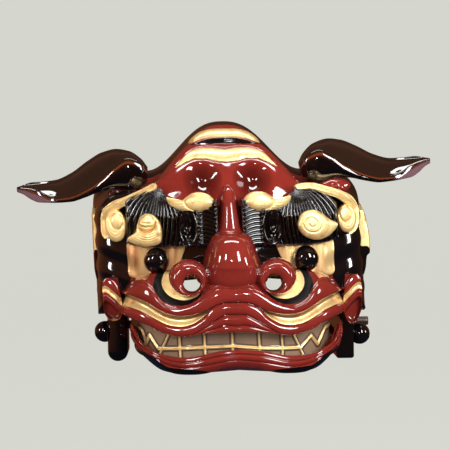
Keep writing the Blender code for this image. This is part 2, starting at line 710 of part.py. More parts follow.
def make_eye(side, sign, parts, tools, plate_seat, pupil_seat):
    """The gold plate in the eye hollow and the bulging pupil on it."""
    outline = [(sign * x, z) for x, z in EYE_OUTLINE]
    centre = (sign * EYE_CENTRE[0], EYE_CENTRE[1])
    plate = prism(f"eye_plate_{side}", parts, outline, centre, 1.0, finish=GOLD_LEAF)
    boolean(plate, plate_seat, "INTERSECT")
    boolean(plate, tools.objects["skull_seat"])
    boolean(plate, tools.objects["snout_seat"])
    centre = (sign * PUPIL["x"], PUPIL["y"], PUPIL["z"])
    pupil = ellipsoid(f"pupil_{side}", parts, centre, (PUPIL["radius"],) * 3, BLACK_LACQUER, 14, 8)
    boolean(pupil, pupil_seat)
    return plate


def make_side_hair(parts, tools):
    """Carved panels that follow the sides of the hood."""
    for side, sign in (("left", -1.0), ("right", 1.0)):
        xs = sorted((sign * SIDE_HAIR["x"][0], sign * SIDE_HAIR["x"][1]))
        low = (xs[0], SIDE_HAIR["y"][0], SIDE_HAIR["z"][0])
        high = (xs[1], SIDE_HAIR["y"][1], SIDE_HAIR["z"][1])
        panel = box(f"side_hair_{side}", parts, low, high, GOLD_LEAF, SIDE_HAIR["rounding"], 3)
        face = skull_core(f"side_hair_face_{side}", tools, SIDE_HAIR_PROUD[side])
        boolean(panel, face, "INTERSECT")
        boolean(panel, tools.objects["skull_seat"])


def ear_rings():
    """Sections of an ear about its hinge: a cupped blade, thick at the root."""
    rings = []
    for row in (row_of(EAR_COLUMNS, values) for values in EAR_SECTIONS):
        back = Vector((row["back_y"], row["back_z"]))
        front = Vector((row["front_y"], row["front_z"]))
        under = Vector((row["front_y"] + EAR_UNDER_SET_BACK, row["under_z"]))
        across = front - back
        up = Vector((across.y, -across.x)).normalized()
        if up.y < 0:
            up.negate()
        bow = up * EAR_BOW * across.length
        down = Vector((0, -row["thick"]))
        top = [back.lerp(front, t) + bow * math.sin(math.pi * t) for t in (0.0, 0.25, 0.5, 0.75, 1.0)]
        floor = []
        for t in (0.75, 0.5, 0.25):
            point = back.lerp(under, t) + bow * EAR_FLOOR_BOW * math.sin(math.pi * t)
            floor.append(point + down * math.sin(math.pi * (1.0 - 0.85 * t)))
        rings.append([(row["out"], p.x, p.y) for p in top + [under] + floor])
    return rings


def make_ears(parts, tools):
    for side, x, y, z, lift in EARS:
        sign = -1.0 if side == "left" else 1.0
        turn = Matrix.Rotation(-math.radians(lift) * sign, 4, "Y")
        rings = []
        for ring in ear_rings():
            rings.append([turn @ (Vector((sign * out, depth, height)) * MM) for out, depth, height in ring])
        ear = add_mesh(f"ear_{side}", loft(rings), parts, BLACK_LACQUER)
        ear.location = Vector((x, y, z)) * MM
        hole = cylinder(
            f"ear_pin_hole_{side}", tools, "Y", EAR_PIN["front_y"] - GAP, EAR_PIN["back_y"], (x, z),
            EAR_PIN["radius"] + HOLE_CLEARANCE, sides=PIN_SIDES,
        )
        boolean(ear, hole)
        cylinder(
            f"ear_pin_{side}", parts, "Y", EAR_PIN["front_y"], EAR_PIN["back_y"], (x, z), EAR_PIN["radius"],
            PLAIN_WOOD, PIN_SIDES,
        )
    for side, centre, radii in EAR_BOSSES:
        boss = ellipsoid(f"ear_boss_{side}", parts, centre, radii, RED_LACQUER, 14, 8)
        boolean(boss, tools.objects["skull_seat"])


def main():
    clear_scene()
    parts = new_collection("lion_dance_head")
    tools = new_collection("cutters")
    skull_core("skull_seat", tools, GAP)
    snout_core("snout_seat", tools, GAP)
    make_skull(parts, tools)
    make_snout(parts, tools)
    make_nose(parts, tools)
    make_teeth(parts, tools)
    make_jaw(parts, tools)
    make_hinge(parts, tools)
    make_relief(parts, tools)
    make_side_hair(parts, tools)
    make_ears(parts, tools)


main()
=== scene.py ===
"""Carved and lacquered lion dance head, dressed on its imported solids.

Sizes are in millimetres and become metres as a mesh is made. The face looks along -Y, +X is on the right of
someone facing it, and the head stands on its chin and its hinge plates at Z = 0.
"""

import math

import bmesh
import bpy
import numpy as np
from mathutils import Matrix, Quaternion, Vector
from mathutils.bvhtree import BVHTree


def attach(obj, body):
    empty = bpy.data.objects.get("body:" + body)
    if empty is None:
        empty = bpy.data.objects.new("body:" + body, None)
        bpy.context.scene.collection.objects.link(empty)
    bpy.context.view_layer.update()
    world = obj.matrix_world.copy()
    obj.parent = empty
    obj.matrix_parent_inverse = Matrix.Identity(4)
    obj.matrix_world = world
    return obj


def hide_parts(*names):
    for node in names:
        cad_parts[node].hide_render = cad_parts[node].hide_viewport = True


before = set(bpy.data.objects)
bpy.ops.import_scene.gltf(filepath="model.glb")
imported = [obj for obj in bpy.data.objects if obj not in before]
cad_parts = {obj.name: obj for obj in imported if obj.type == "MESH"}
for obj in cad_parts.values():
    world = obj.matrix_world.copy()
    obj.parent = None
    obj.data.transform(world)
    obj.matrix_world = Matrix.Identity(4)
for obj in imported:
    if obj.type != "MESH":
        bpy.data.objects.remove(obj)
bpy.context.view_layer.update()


# Hood. The big hollow block of light wood that the bearer's head goes into, roughed out and then carved in
# front with the folds of the forehead. Its face has many thin coats of red lacquer, its back and sides black
# ones, and the folds are gilded with leaf.

# The carver's block leans a little: a shear of X with height, nil at eye height.
LEAN = -0.035
LEAN_HEIGHT = 120.0

HOOD_COLUMNS = ("y", "half_width", "shoulder_z", "hump_half", "hump_power", "crown_z", "foot_z")
HOOD_ARCHES = (
    (-97, 12, 120, 12, 3.0, 134, 102),
    (-93, 28, 136, 26, 3.0, 164, 100),
    (-86, 58, 158, 52, 3.0, 190, 97),
    (-76, 100, 183, 80, 2.6, 209, 92),
    (-66, 124, 190, 93, 2.2, 223, 84),
    (-55, 137, 192, 95, 1.9, 236, 76),
    (-43, 143, 193, 92, 1.8, 246, 68),
    (-28, 146, 194, 88, 1.5, 257, 62),
    (-8, 148, 198, 86, 1.3, 266, 58),
    (22, 149, 213, 87, 1.25, 270, 55),
    (62, 149, 216, 88, 1.25, 268, 54),
    (108, 147, 208, 90, 1.3, 258, 57),
    (150, 140, 196, 90, 1.3, 238, 62),
)
HOOD_FRONT_ARCHES = 8
HOOD_FRONT_SHARE = 0.72
HOOD_ROOF_SHARE = 0.56
HOOD_CORNER_SHARE = 0.14
HOOD_CORNER_RADIUS = 32.0
HOOD_WALL = 8.5
HOOD_TIP_Z = 118.0

# Folds of the forehead: height of each fold's upper and lower edge, read outwards from the middle.
UPPER_FOLD = (
    ((0, 260.5), (12, 260.3), (24, 258), (33, 252.5), (42, 244.5)),
    ((0, 251.5), (14, 251.2), (25, 249.5), (36, 245.3), (42, 243.5)),
)
LENS_SLIT = (
    ((0, 250.3), (12, 249.6), (24, 247), (34, 244), (40, 242.4)),
    ((0, 242.8), (28, 242.6), (40, 242.2)),
)
LOWER_FOLD = (
    ((0, 237), (12, 238.6), (24, 239), (34, 237), (42, 232.5), (49, 225), (55, 218.5)),
    ((0, 223.5), (12, 225), (22, 227.4), (33, 227.4), (42, 224.5), (50, 220.5), (55, 218)),
)
FOLD_RISE = {"upper": 2.4, "lower": 2.2}
FOLD_GROOVE = 0.9
SLIT_DEPTH = 5.0
BROW_HOLLOW = {"x": 27.0, "z": 207.0, "half_width": 22.0, "above": 17.0, "below": 32.0, "top_z": 229.0}
BROW_HOLLOW_DEPTH = 14.0
BROW_HOLLOW_PAINTED_SHADE = 0.75
FOREHEAD_RIDGE = {"half_width": 6.0, "rises": (188, 200), "falls": (228, 214)}
CHEEK_WAVE = {"height": 0.8, "spacing": 27.0, "slope": 0.35}

# Where the red lacquer ends and the black begins.
LACQUER_LINE = {
    "crown_y": -12.0,
    "shoulder_y": 8.0,
    "cheek_z": 176.0,
    "temple_foot_z": 101.0,
    "eye_x": (109.0, 121.0),
    "eye_drop": 14.0,
    "side_x": 128.0,
    "side_drop": 200.0,
    "side_y": -40.0,
    "shoulder_x": 101.0,
}

RED_URUSHI = "#7C2720"
BLACK_URUSHI = "#0C090A"
BROWN_URUSHI = "#24140D"
# Multiplied over the painted shade in the brow hollows and the lip channel, and over the teeth's dark
# outline.
SHADE_AND_OUTLINE_TONE = "#6B5148"
GOLD_LEAF = "#FFDD98"
GOLD_SHADE = "#D98A54"
GOLD_GROOVE_SHADE = "#7A3E22"
LEAF_METAL = 0.65
LEAF_ROUGHNESS = 0.42
LACQUER_COAT = 0.6

# A mark that is below zero everywhere, and one that is above it.
NOWHERE = -5.0
EVERYWHERE = 5.0


def through(points):
    """A smooth reading of a short table that never swings past its values."""
    xs, ys = (np.array(column, float) for column in zip(*points))
    steps = np.diff(xs)
    rises = np.diff(ys) / steps
    slopes = np.zeros(len(xs))
    slopes[0], slopes[-1] = rises[0], rises[-1]
    for i in range(1, len(xs) - 1):
        if rises[i - 1] * rises[i] > 0:
            slopes[i] = 2 * rises[i - 1] * rises[i] / (rises[i - 1] + rises[i])

    def read(at):
        at = np.clip(at, xs[0], xs[-1])
        i = np.clip(np.searchsorted(xs, at, side="right") - 1, 0, len(steps) - 1)
        t = (at - xs[i]) / steps[i]
        rise = ys[i] * (1 + 2 * t) * (1 - t) ** 2 + ys[i + 1] * t * t * (3 - 2 * t)
        return rise + steps[i] * t * (1 - t) * (slopes[i] * (1 - t) - slopes[i + 1] * t)

    return read


def by_row(table):
    """A smooth reading of each column of a table, by the number of the row."""
    return [through(list(enumerate(column))) for column in zip(*table)]


def eased(value, low, high):
    """0 below low, 1 above high and a smooth step between."""
    t = np.clip((value - low) / (high - low), 0, 1)
    return t * t * (3 - 2 * t)


def swell(value, middle, width):
    """1 on the crest of a rounded ridge at middle, fading to nothing on both sides."""
    return np.exp(-(((value - middle) / width) ** 2))


def as_points(x, y, z):
    """Columns of millimetres as one array of points."""
    return np.stack(np.broadcast_arrays(x, y, z), axis=-1)


def leaned(points):
    """Points in millimetres with the block's lean, in metres."""
    moved = np.array(points, float)
    moved[:, 0] += LEAN * (moved[:, 2] - LEAN_HEIGHT)
    return moved * 0.001


def outward(surface, u, v, step=2e-3):
    """Unit normals of a surface of two numbers, for carving into it."""
    across = surface(np.clip(u + step, 0, 1), v) - surface(np.clip(u - step, 0, 1), v)
    along = surface(u, np.clip(v + step, 0, 1)) - surface(u, np.clip(v - step, 0, 1))
    normal = np.cross(across, along)
    return normal / np.maximum(np.linalg.norm(normal, axis=1, keepdims=True), 1e-9)


def placed(name, data):
    """A mesh, lamp or camera as an object in the scene."""
    thing = bpy.data.objects.new(name, data)
    bpy.context.scene.collection.objects.link(thing)
    return thing


def smooth_object(name, mesh, finishes):
    """A finished bmesh as a smooth object with its finishes."""
    data = bpy.data.meshes.new(name)
    mesh.to_mesh(data)
    mesh.free()
    data.shade_smooth()
    for finish in finishes:
        data.materials.append(finish)
    return placed(name, data)


def make_piece(name, mesh, finishes, body, nodes):
    """A smooth piece that rides on a body in place of its rough solids."""
    piece = smooth_object(name, mesh, finishes)
    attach(piece, body)
    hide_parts(*nodes)
    return piece


def carved_grid(columns, rows, shape, heart=(0.0, 20.0, 120.0), lean=True):
    """A fine grid, its points moved to their places and marked for the lacquerer, facing away from heart."""
    mesh = bmesh.new()
    bmesh.ops.create_grid(mesh, x_segments=columns, y_segments=rows, size=0.5)
    flat = np.array([vertex.co[:2] for vertex in mesh.verts]) + 0.5
    points, marks = shape(flat[:, 0], flat[:, 1])
    places = leaned(points) if lean else points * 0.001
    for vertex, place in zip(mesh.verts, places):
        vertex.co = place
    for label, values in marks.items():
        layer = mesh.verts.layers.float.new(label)
        for vertex, value in zip(mesh.verts, values):
            vertex[layer] = value
    bmesh.ops.remove_doubles(mesh, verts=mesh.verts, dist=1e-5)
    face_away(mesh, heart)
    return mesh


def face_away(mesh, heart):
    """Turns all faces over where most of them look towards the heart of the piece."""
    mesh.normal_update()
    middle = Vector(heart) * 0.001
    look = sum(face.normal.dot(face.calc_center_median() - middle) * face.calc_area() for face in mesh.faces)
    if look < 0:
        bmesh.ops.reverse_faces(mesh, faces=mesh.faces)


def thicken(piece, wall, edge=None, taper=9.0, thinnest=0.1):
    """Gives a carved skin its wood, inwards. The wall tapers where edge reads that a thin lip is near."""
    shell = piece.modifiers.new("wood", "SOLIDIFY")
    shell.thickness = wall * 0.001
    shell.offset = -1.0
    shell.material_offset = 1
    if edge:
        group = piece.vertex_groups.new(name="full_wall")
        spots = np.array([vertex.co for vertex in piece.data.vertices]) * 1000
        shares = np.clip(edge(np.abs(spots[:, 0]), spots[:, 2]) / taper, thinnest, 1)
        for number, share in enumerate(shares):
            group.add([number], float(share), "REPLACE")
        shell.vertex_group = group.name


def linear(code, alpha=1.0):
    """An sRGB hex colour in linear light."""
    values = [int(code[i : i + 2], 16) / 255 for i in (1, 3, 5)]
    return [v / 12.92 if v <= 0.04045 else ((v + 0.055) / 1.055) ** 2.4 for v in values] + [alpha]


def add(tree, kind, settings=None, links=None):
    """One node with its settings and what feeds it."""
    node = tree.nodes.new(kind)
    for key, value in (settings or {}).items():
        if isinstance(key, str) and hasattr(node, key):
            setattr(node, key, value)
        else:
            node.inputs[key].default_value = value
    for key, source in (links or {}).items():
        tree.links.new(source, node.inputs[key])
    return node


def new_finish(name):
    """An empty finish: the material, its node tree, its shader and the place on the piece."""
    finish = bpy.data.materials.new(name)
    finish.use_nodes = True
    tree = finish.node_tree
    return finish, tree, tree.nodes["Principled BSDF"], add(tree, "ShaderNodeTexCoord").outputs["Object"]


def noise(tree, place, scale, detail, roughness=0.5):
    """A cloudy pattern, scale being the number of its spots in a metre."""
    settings = {"Scale": scale, "Detail": detail, "Roughness": roughness}
    return add(tree, "ShaderNodeTexNoise", settings, {"Vector": place}).outputs["Fac"]


def ramp(tree, value, low, high, start=0.0, end=1.0):
    """A value between low and high, brought between start and end."""
    settings = {"From Min": low, "From Max": high, "To Min": start, "To Max": end}
    return add(tree, "ShaderNodeMapRange", settings, {"Value": value}).outputs["Result"]


def mixed(tree, share, first, second, blend="MIX"):
    """Two colours mixed by a share; each is a hex code or the output of a node."""
    node = add(tree, "ShaderNodeMix", {"data_type": "RGBA", "blend_type": blend}, {0: share})
    for key, colour in ((6, first), (7, second)):
        if isinstance(colour, str):
            node.inputs[key].default_value = linear(colour)
        else:
            tree.links.new(colour, node.inputs[key])
    return node.outputs[2]


def levelled(tree, share, first, second):
    """Two levels mixed by a share; the first is a number or the output of a node."""
    node = add(tree, "ShaderNodeMix", {"data_type": "FLOAT", 3: second}, {0: share})
    if isinstance(first, float):
        node.inputs[2].default_value = first
    else:
        tree.links.new(first, node.inputs[2])
    return node.outputs[0]


def bumped(tree, height, strength, distance):
    """Normals bent by a pattern, distance being its depth in metres."""
    settings = {"Strength": strength, "Distance": distance}
    return add(tree, "ShaderNodeBump", settings, {"Height": height}).outputs["Normal"]


def mark(tree, label):
    """A mark left on the mesh for the lacquerer."""
    return add(tree, "ShaderNodeAttribute", {"attribute_name": label}).outputs["Fac"]


def covered(tree, label):
    """1 where a mark is above zero, with an edge 0.3 mm wide."""
    return ramp(tree, mark(tree, label), -0.15, 0.15)


def curvature(tree):
    """How the surface bends: 0.5 where flat, less in grooves and more on edges."""
    return add(tree, "ShaderNodeNewGeometry").outputs["Pointiness"]


def leaf_tone(tree, place):
    """Colour of gold leaf: a warm yellow, orange where the leaf is rubbed, and painted brown shade in the
    grooves.
    """
    rubbed = ramp(tree, noise(tree, place, 90.0, 4.0, 0.6), 0.5, 0.8)
    leaf = mixed(tree, rubbed, GOLD_LEAF, GOLD_SHADE)
    # Painted shade: the leaf turns brown where it bends into a groove.
    return mixed(tree, ramp(tree, curvature(tree), 0.49, 0.43, end=0.55), leaf, GOLD_GROOVE_SHADE)


def urushi(
    name, ground, black_mark=None, gold_mark=None, black=BLACK_URUSHI, gloss=0.09, black_gloss=None,
    with_shade_and_outline=False,
):
    """Lacquer over carved wood. The hand-levelled coats keep a faint ripple about 12 mm long that bends
    highlights, and the colour is darkened in the grooves as painted shade. Black and leaf cover it where
    their marks are above zero."""
    finish, tree, shader, place = new_finish(name)
    shader.inputs["Coat Weight"].default_value = LACQUER_COAT
    shader.inputs["Coat Roughness"].default_value = 0.04
    uneven = ramp(tree, noise(tree, place, 22.0, 3.0), 0.3, 0.7, 0.8, 1.08)
    # Painted shade: the colour is darkened where the surface bends into a groove.
    groove_shade = ramp(tree, curvature(tree), 0.44, 0.497, 0.3)
    value = add(tree, "ShaderNodeMath", {"operation": "MULTIPLY"}, {0: uneven, 1: groove_shade}).outputs[0]
    tone = add(tree, "ShaderNodeHueSaturation", {"Color": linear(ground)}, {"Value": value}).outputs["Color"]
    rough = gloss
    if black_mark:
        mask = covered(tree, black_mark)
        tone = mixed(tree, mask, tone, black)
        if black_gloss:
            rough = levelled(tree, mask, gloss, black_gloss)
            for label, shiny, dull in (("Coat Weight", LACQUER_COAT, 0.0), ("Specular IOR Level", 0.5, 0.12)):
                tree.links.new(levelled(tree, mask, shiny, dull), shader.inputs[label])
    if gold_mark:
        mask = covered(tree, gold_mark)
        tone = mixed(tree, mask, tone, leaf_tone(tree, place))
        tree.links.new(levelled(tree, mask, 0.0, LEAF_METAL), shader.inputs["Metallic"])
        tree.links.new(levelled(tree, mask, rough, LEAF_ROUGHNESS), shader.inputs["Roughness"])
    else:
        shader.inputs["Roughness"].default_value = gloss
    # Painted shade in the brow hollows and along the top of the lip's gilded channel, and the dark outline
    # beside the teeth's gilt edges, multiplied in from their mark.
    if with_shade_and_outline:
        tone = mixed(tree, mark(tree, "shade_and_outline"), tone, SHADE_AND_OUTLINE_TONE, "MULTIPLY")
    tree.links.new(tone, shader.inputs["Base Color"])
    tree.links.new(bumped(tree, noise(tree, place, 80.0, 1.0, 0.4), 0.12, 0.002), shader.inputs["Normal"])
    return finish


# Each measure of the hood's arches, read from the front arch back.
ARCH = dict(zip(HOOD_COLUMNS, by_row(HOOD_ARCHES)))


def hood_skin(u, v):
    """The hood before its relief: u runs over an arch from foot to foot, v from the tip to the back rim."""
    last = len(HOOD_ARCHES) - 1
    front = HOOD_FRONT_ARCHES - 1
    number = np.where(
        v < HOOD_FRONT_SHARE, front * v / HOOD_FRONT_SHARE,
        front + (last - front) * (v - HOOD_FRONT_SHARE) / (1 - HOOD_FRONT_SHARE),
    )
    read = {column: curve(number) for column, curve in ARCH.items()}
    side = np.sign(u - 0.5)
    q = np.abs(2 * u - 1)
    radius = np.minimum(HOOD_CORNER_RADIUS, 0.45 * read["half_width"])
    turn = np.clip((q - HOOD_ROOF_SHARE) / HOOD_CORNER_SHARE, 0, 1) * math.pi / 2
    x = (read["half_width"] - radius) * np.clip(q / HOOD_ROOF_SHARE, 0, 1) + radius * np.sin(turn)
    reach = np.clip(x / read["hump_half"], 0, 1)
    hump = np.cos(math.pi / 2 * reach ** read["hump_power"]) ** 2
    z = read["shoulder_z"] + (read["crown_z"] - read["shoulder_z"]) * hump - radius * (1 - np.cos(turn))
    leg_start = HOOD_ROOF_SHARE + HOOD_CORNER_SHARE
    leg = np.clip((q - leg_start) / (1 - leg_start), 0, 1)
    z = z + (read["foot_z"] - z) * leg
    close = np.clip(v / 0.01, 0, 1)
    return as_points(side * x * close, read["y"], HOOD_TIP_Z + (z - HOOD_TIP_Z) * close)


def inside_fold(fold, x, z):
    """Distance inside a fold's edges, negative outside, the share of the way across it, and its width."""
    high, low = through(fold[0])(np.abs(x)), through(fold[1])(np.abs(x))
    width = np.maximum(high - low, 0.01)
    depth = np.minimum(np.minimum(high - z, z - low), fold[1][-1][0] + 0.5 - np.abs(x))
    return depth, np.clip((z - low) / width, 0, 1), width


def hood_shape(u, v):
    """The hood with its folds, slit and brow hollows, and where its black, gold and painted shade lie."""
    points = hood_skin(u, v)
    x, y, z = points.T
    front = eased(-y, 14, 24)
    upper, across, width = inside_fold(UPPER_FOLD, x, z)
    relief = FOLD_RISE["upper"] * np.sin(math.pi * across) ** 0.7 * np.clip(width / 8, 0, 1) * (upper > 0)
    slit, _, width = inside_fold(LENS_SLIT, x, z)
    relief -= SLIT_DEPTH * eased(slit, 0.0, 2.2) * np.clip(width / 5, 0, 1)
    lower, across, width = inside_fold(LOWER_FOLD, x, z)
    relief += FOLD_RISE["lower"] * np.sin(math.pi * across) ** 0.6 * np.clip(width / 8, 0, 1) * (lower > 0)
    for edge in (upper, lower):
        relief -= FOLD_GROOVE * swell(edge, -0.3, 0.8)
    rise = z - BROW_HOLLOW["z"]
    rise = rise / np.where(rise > 0, BROW_HOLLOW["above"], BROW_HOLLOW["below"])
    reach = np.hypot((np.abs(x) - BROW_HOLLOW["x"]) / BROW_HOLLOW["half_width"], rise)
    hollow = np.clip(1 - reach ** 2, 0, 1) * (z < BROW_HOLLOW["top_z"])
    relief -= BROW_HOLLOW_DEPTH * hollow ** 1.5
    ridge = swell(x, 0, FOREHEAD_RIDGE["half_width"])
    relief += ridge * eased(z, *FOREHEAD_RIDGE["rises"]) * eased(z, *FOREHEAD_RIDGE["falls"])
    cheek = eased(LACQUER_LINE["cheek_z"] - z, 2, 12) * eased(np.abs(x), 96, 106)
    wave = np.sin(2 * math.pi * (z - CHEEK_WAVE["slope"] * np.abs(x)) / CHEEK_WAVE["spacing"])
    relief += CHEEK_WAVE["height"] * cheek * wave
    points = points + outward(hood_skin, u, v) * (relief * front)[:, None]
    to_shoulder = LACQUER_LINE["shoulder_y"] - LACQUER_LINE["crown_y"]
    border = LACQUER_LINE["crown_y"] + to_shoulder * eased(np.abs(x), 58, 76)
    # Beside the eye the black reaches a little lower, and on the side of the head it goes right down.
    start, end = LACQUER_LINE["eye_x"]
    by_the_eye = eased(np.abs(x), start, start + 0.5) - eased(np.abs(x), end, end + 0.5)
    on_the_side = eased(np.abs(x), LACQUER_LINE["side_x"], LACQUER_LINE["side_x"] + 1)
    foot = LACQUER_LINE["temple_foot_z"] - LACQUER_LINE["eye_drop"] * by_the_eye
    foot = foot - LACQUER_LINE["side_drop"] * on_the_side
    temple = np.minimum(LACQUER_LINE["cheek_z"] - z, np.maximum(z - foot, y - LACQUER_LINE["side_y"]))
    shoulder = np.minimum(z - LACQUER_LINE["cheek_z"], np.abs(x) - LACQUER_LINE["shoulder_x"])
    black = np.maximum(np.maximum(y - border, temple), shoulder)
    black = np.where(front > 0.5, np.maximum(black, slit), black)
    gold = np.where(front > 0.5, np.maximum(upper, lower), NOWHERE)
    # Painted shade: the red is darkened in the brow hollows.
    shade_and_outline = BROW_HOLLOW_PAINTED_SHADE * hollow ** 0.7 * front
    return points, {"blacking": black, "gilding": gold, "shade_and_outline": shade_and_outline}


red_and_gold = urushi("red_urushi_with_black_and_leaf", RED_URUSHI, "blacking", "gilding")
# The hood's red is painted darker in the brow hollows, as their shade.
red_and_gold_with_painted_shade = urushi(
    "red_urushi_with_black_leaf_and_painted_shade", RED_URUSHI, "blacking", "gilding", with_shade_and_outline=True
)
red_urushi = urushi("red_urushi", RED_URUSHI)
black_urushi = urushi("black_urushi", BLACK_URUSHI, gloss=0.07)
brown_urushi = urushi("brown_urushi", BROWN_URUSHI, gloss=0.08)

hood_mesh = carved_grid(276, 140, hood_shape)
hood_tree = BVHTree.FromBMesh(hood_mesh)
hood = make_piece("hood", hood_mesh, (red_and_gold_with_painted_shade, brown_urushi), "head", ["skull"])
thicken(hood, HOOD_WALL)


# Muzzle. The upper jaw, carved from its own block and glued on: rolled lips that sweep out and down from the
# middle like a moustache, a gilded channel in each cheek, and crescents of gold and black under the nostrils.

MUZZLE = {"half_width": 121.0, "rear_y": -40.0, "length": 100.0, "roundness": 0.8, "wall": 6.0}
LIP_BOTTOM = (
    (0, 46.5), (35, 45.5), (47, 42.8), (56, 42), (66, 43.5), (78, 46.5), (94, 54), (108, 58.5), (121, 62),
)
LOW_GROOVE = ((0, 53), (8, 54), (18, 52), (28, 48.5), (36, 45.8), (47, 43), (56, 42.2))
MID_GROOVE = ((0, 65), (8, 65), (18, 61), (26, 56), (34, 51), (40, 47), (47, 43.6), (56, 42.4))
HIGH_GROOVE = (
    (0, 77.5), (8, 77.8), (18, 75.5), (27, 70.5), (31, 65), (37, 60), (46, 55), (56, 52.8), (66, 53.6),
    (76, 56.8), (86, 62), (94, 66.2), (103, 69.4), (112, 71.3), (121, 72),
)
CHANNEL_TOP = (
    (0, 77.7), (18, 75.7), (26, 71.4), (33, 68.2), (42, 65.5), (50, 64), (59, 63.6), (70, 65.8), (80, 70.6),
    (91, 77), (101, 81.3), (112, 84), (121, 85),
)
RIDGE_FOOT = (
    (0, 91.5), (14, 92.5), (24, 88.5), (33, 83), (43, 77), (54, 73.5), (62, 72.5), (70, 75), (78, 82),
    (84, 90.5), (90, 95.5), (96, 97.5), (104, 95), (110, 92), (116, 88), (121, 85.3),
)
RIDGE_TOP = (
    (0, 95), (14, 96), (24, 92), (33, 86.5), (43, 80), (54, 76), (62, 75), (70, 77.5), (78, 85), (84, 94),
    (90, 99), (96, 101), (104, 98.5), (110, 95), (116, 90), (121, 86),
)
ROOF_FRONT = (
    (0, 106), (55, 106.5), (85, 106), (96, 103.5), (103, 100.8), (110, 97), (115.5, 91.5), (121, 86.5),
)
ROOF_BACK = ((0, 112), (55, 111), (85, 108), (103, 103), (112, 99), (121, 93))
MUZZLE_BANDS = (
    # lower line, how far it stands out (read outwards), roll above it, rows of the grid
    (LIP_BOTTOM, ((0, -6), (121, -6)), 0.0, 4),
    (LIP_BOTTOM, ((0, -1), (121, -1)), 2.4, 8),
    (LOW_GROOVE, ((0, -0.6), (56, -0.6), (121, -0.6)), 3.0, 10),
    (MID_GROOVE, ((0, -0.6), (56, -0.4), (121, -0.4)), 4.0, 13),
    (HIGH_GROOVE, ((0, -0.5), (35, -0.5), (60, 0.5), (95, 0.5), (121, -0.5)), -4.6, 16),
    (CHANNEL_TOP, ((0, -0.3), (35, 1.5), (60, 2.2), (95, 1.5), (121, 0)), 3.6, 20),
    (RIDGE_FOOT, ((0, -1), (40, 2.5), (62, 3), (84, 0), (100, -3), (121, -3.5)), 1.0, 6),
    (RIDGE_TOP, ((0, -3), (40, -0.5), (62, 0), (84, -3), (100, -6), (121, -6.5)), 0.0, 14),
    (ROOF_FRONT, ((0, -20), (55, -20), (85, -16), (112, -13), (121, -11)), 0.0, 8),
    (ROOF_BACK, ((0, -42), (55, -42), (85, -36), (112, -26), (121, -22)), 0.0, 0),
)
MUZZLE_ROWS = sum(band[3] for band in MUZZLE_BANDS)
CHANNEL_BAND = 4
CHANNEL_START = 25.0
CHANNEL_PAINTED_SHADE = 0.9
NOSTRIL = {"x": 42.5, "z": 97.0, "radius": 9.0, "sheet_y": -95.0}
GOLD_CRESCENT = {"x": 53.0, "z": 97.5, "half_width": 22.0, "half_height": 17.5}
BLACK_CRESCENT = {"x": 57.5, "z": 95.0, "half_width": 26.0, "half_height": 20.5}
CRESCENT_TOP_Z = 108.0
CRESCENT_STEP = 0.9


def lip_plan(u, form):
    """The plan curve of a lip; u runs from the right corner round the front to the left."""
    turn = math.pi * (0.5 - u)
    x = form["half_width"] * np.sign(turn) * np.abs(np.sin(turn)) ** form["roundness"]
    y = form["rear_y"] - form["length"] * np.abs(np.cos(turn)) ** form["roundness"]
    return x, y


def lip_normal(u, form):
    """Outward normal of the plan curve."""
    ahead, behind = lip_plan(np.clip(u + 4e-3, 0, 1), form), lip_plan(np.clip(u - 4e-3, 0, 1), form)
    along = np.stack((ahead[0] - behind[0], ahead[1] - behind[1]))
    along /= np.maximum(np.hypot(*along), 1e-9)
    return -along[1], along[0]


def elliptic(form, x, z):
    """Reach from the middle of an ellipse, 1 on its line, and the turn about it."""
    dx, dz = (x - form["x"]) / form["half_width"], (z - form["z"]) / form["half_height"]
    return np.hypot(dx, dz), np.arctan2(dz, dx)


def inside_ellipse(form, x, z):
    """Rough distance inside an ellipse on each side of the face, in millimetres."""
    reach, _ = elliptic(form, np.abs(x), z)
    return (1 - reach) * form["half_height"]


def banded(bands, row, at, first_row=0):
    """Height, stand-out and number of each point's band, its share of the way up it and the band's width."""
    starts = first_row + np.cumsum([0] + [band[3] for band in bands[:-1]])
    z, out, share, gap = (np.zeros_like(at) for _ in range(4))
    number = np.zeros(len(at), int)
    high = through(bands[0][0])(at)
    for i, (lower, upper) in enumerate(zip(bands, bands[1:])):
        here = (row >= starts[i] - 1e-6) if i else np.ones_like(row, bool)
        t = np.clip((row - starts[i]) / (starts[i + 1] - starts[i]), 0, 1)
        low, high = high, np.maximum(high, through(upper[0])(at))
        width = high - low
        roll = lower[2]
        place = t if roll > 0 else t ** 1.7
        curve = (1 - (2 * place - 1) ** 2) ** (0.62 if roll > 0 else 0.9)
        start, end = through(lower[1])(at), through(upper[1])(at)
        z = np.where(here, low + width * t, z)
        out = np.where(here, start + (end - start) * t + roll * np.clip(width / 7, 0, 1) * curve, out)
        share = np.where(here, t, share)
        gap = np.where(here, width, gap)
        number = np.where(here, i, number)
    return z, out, number, share, gap


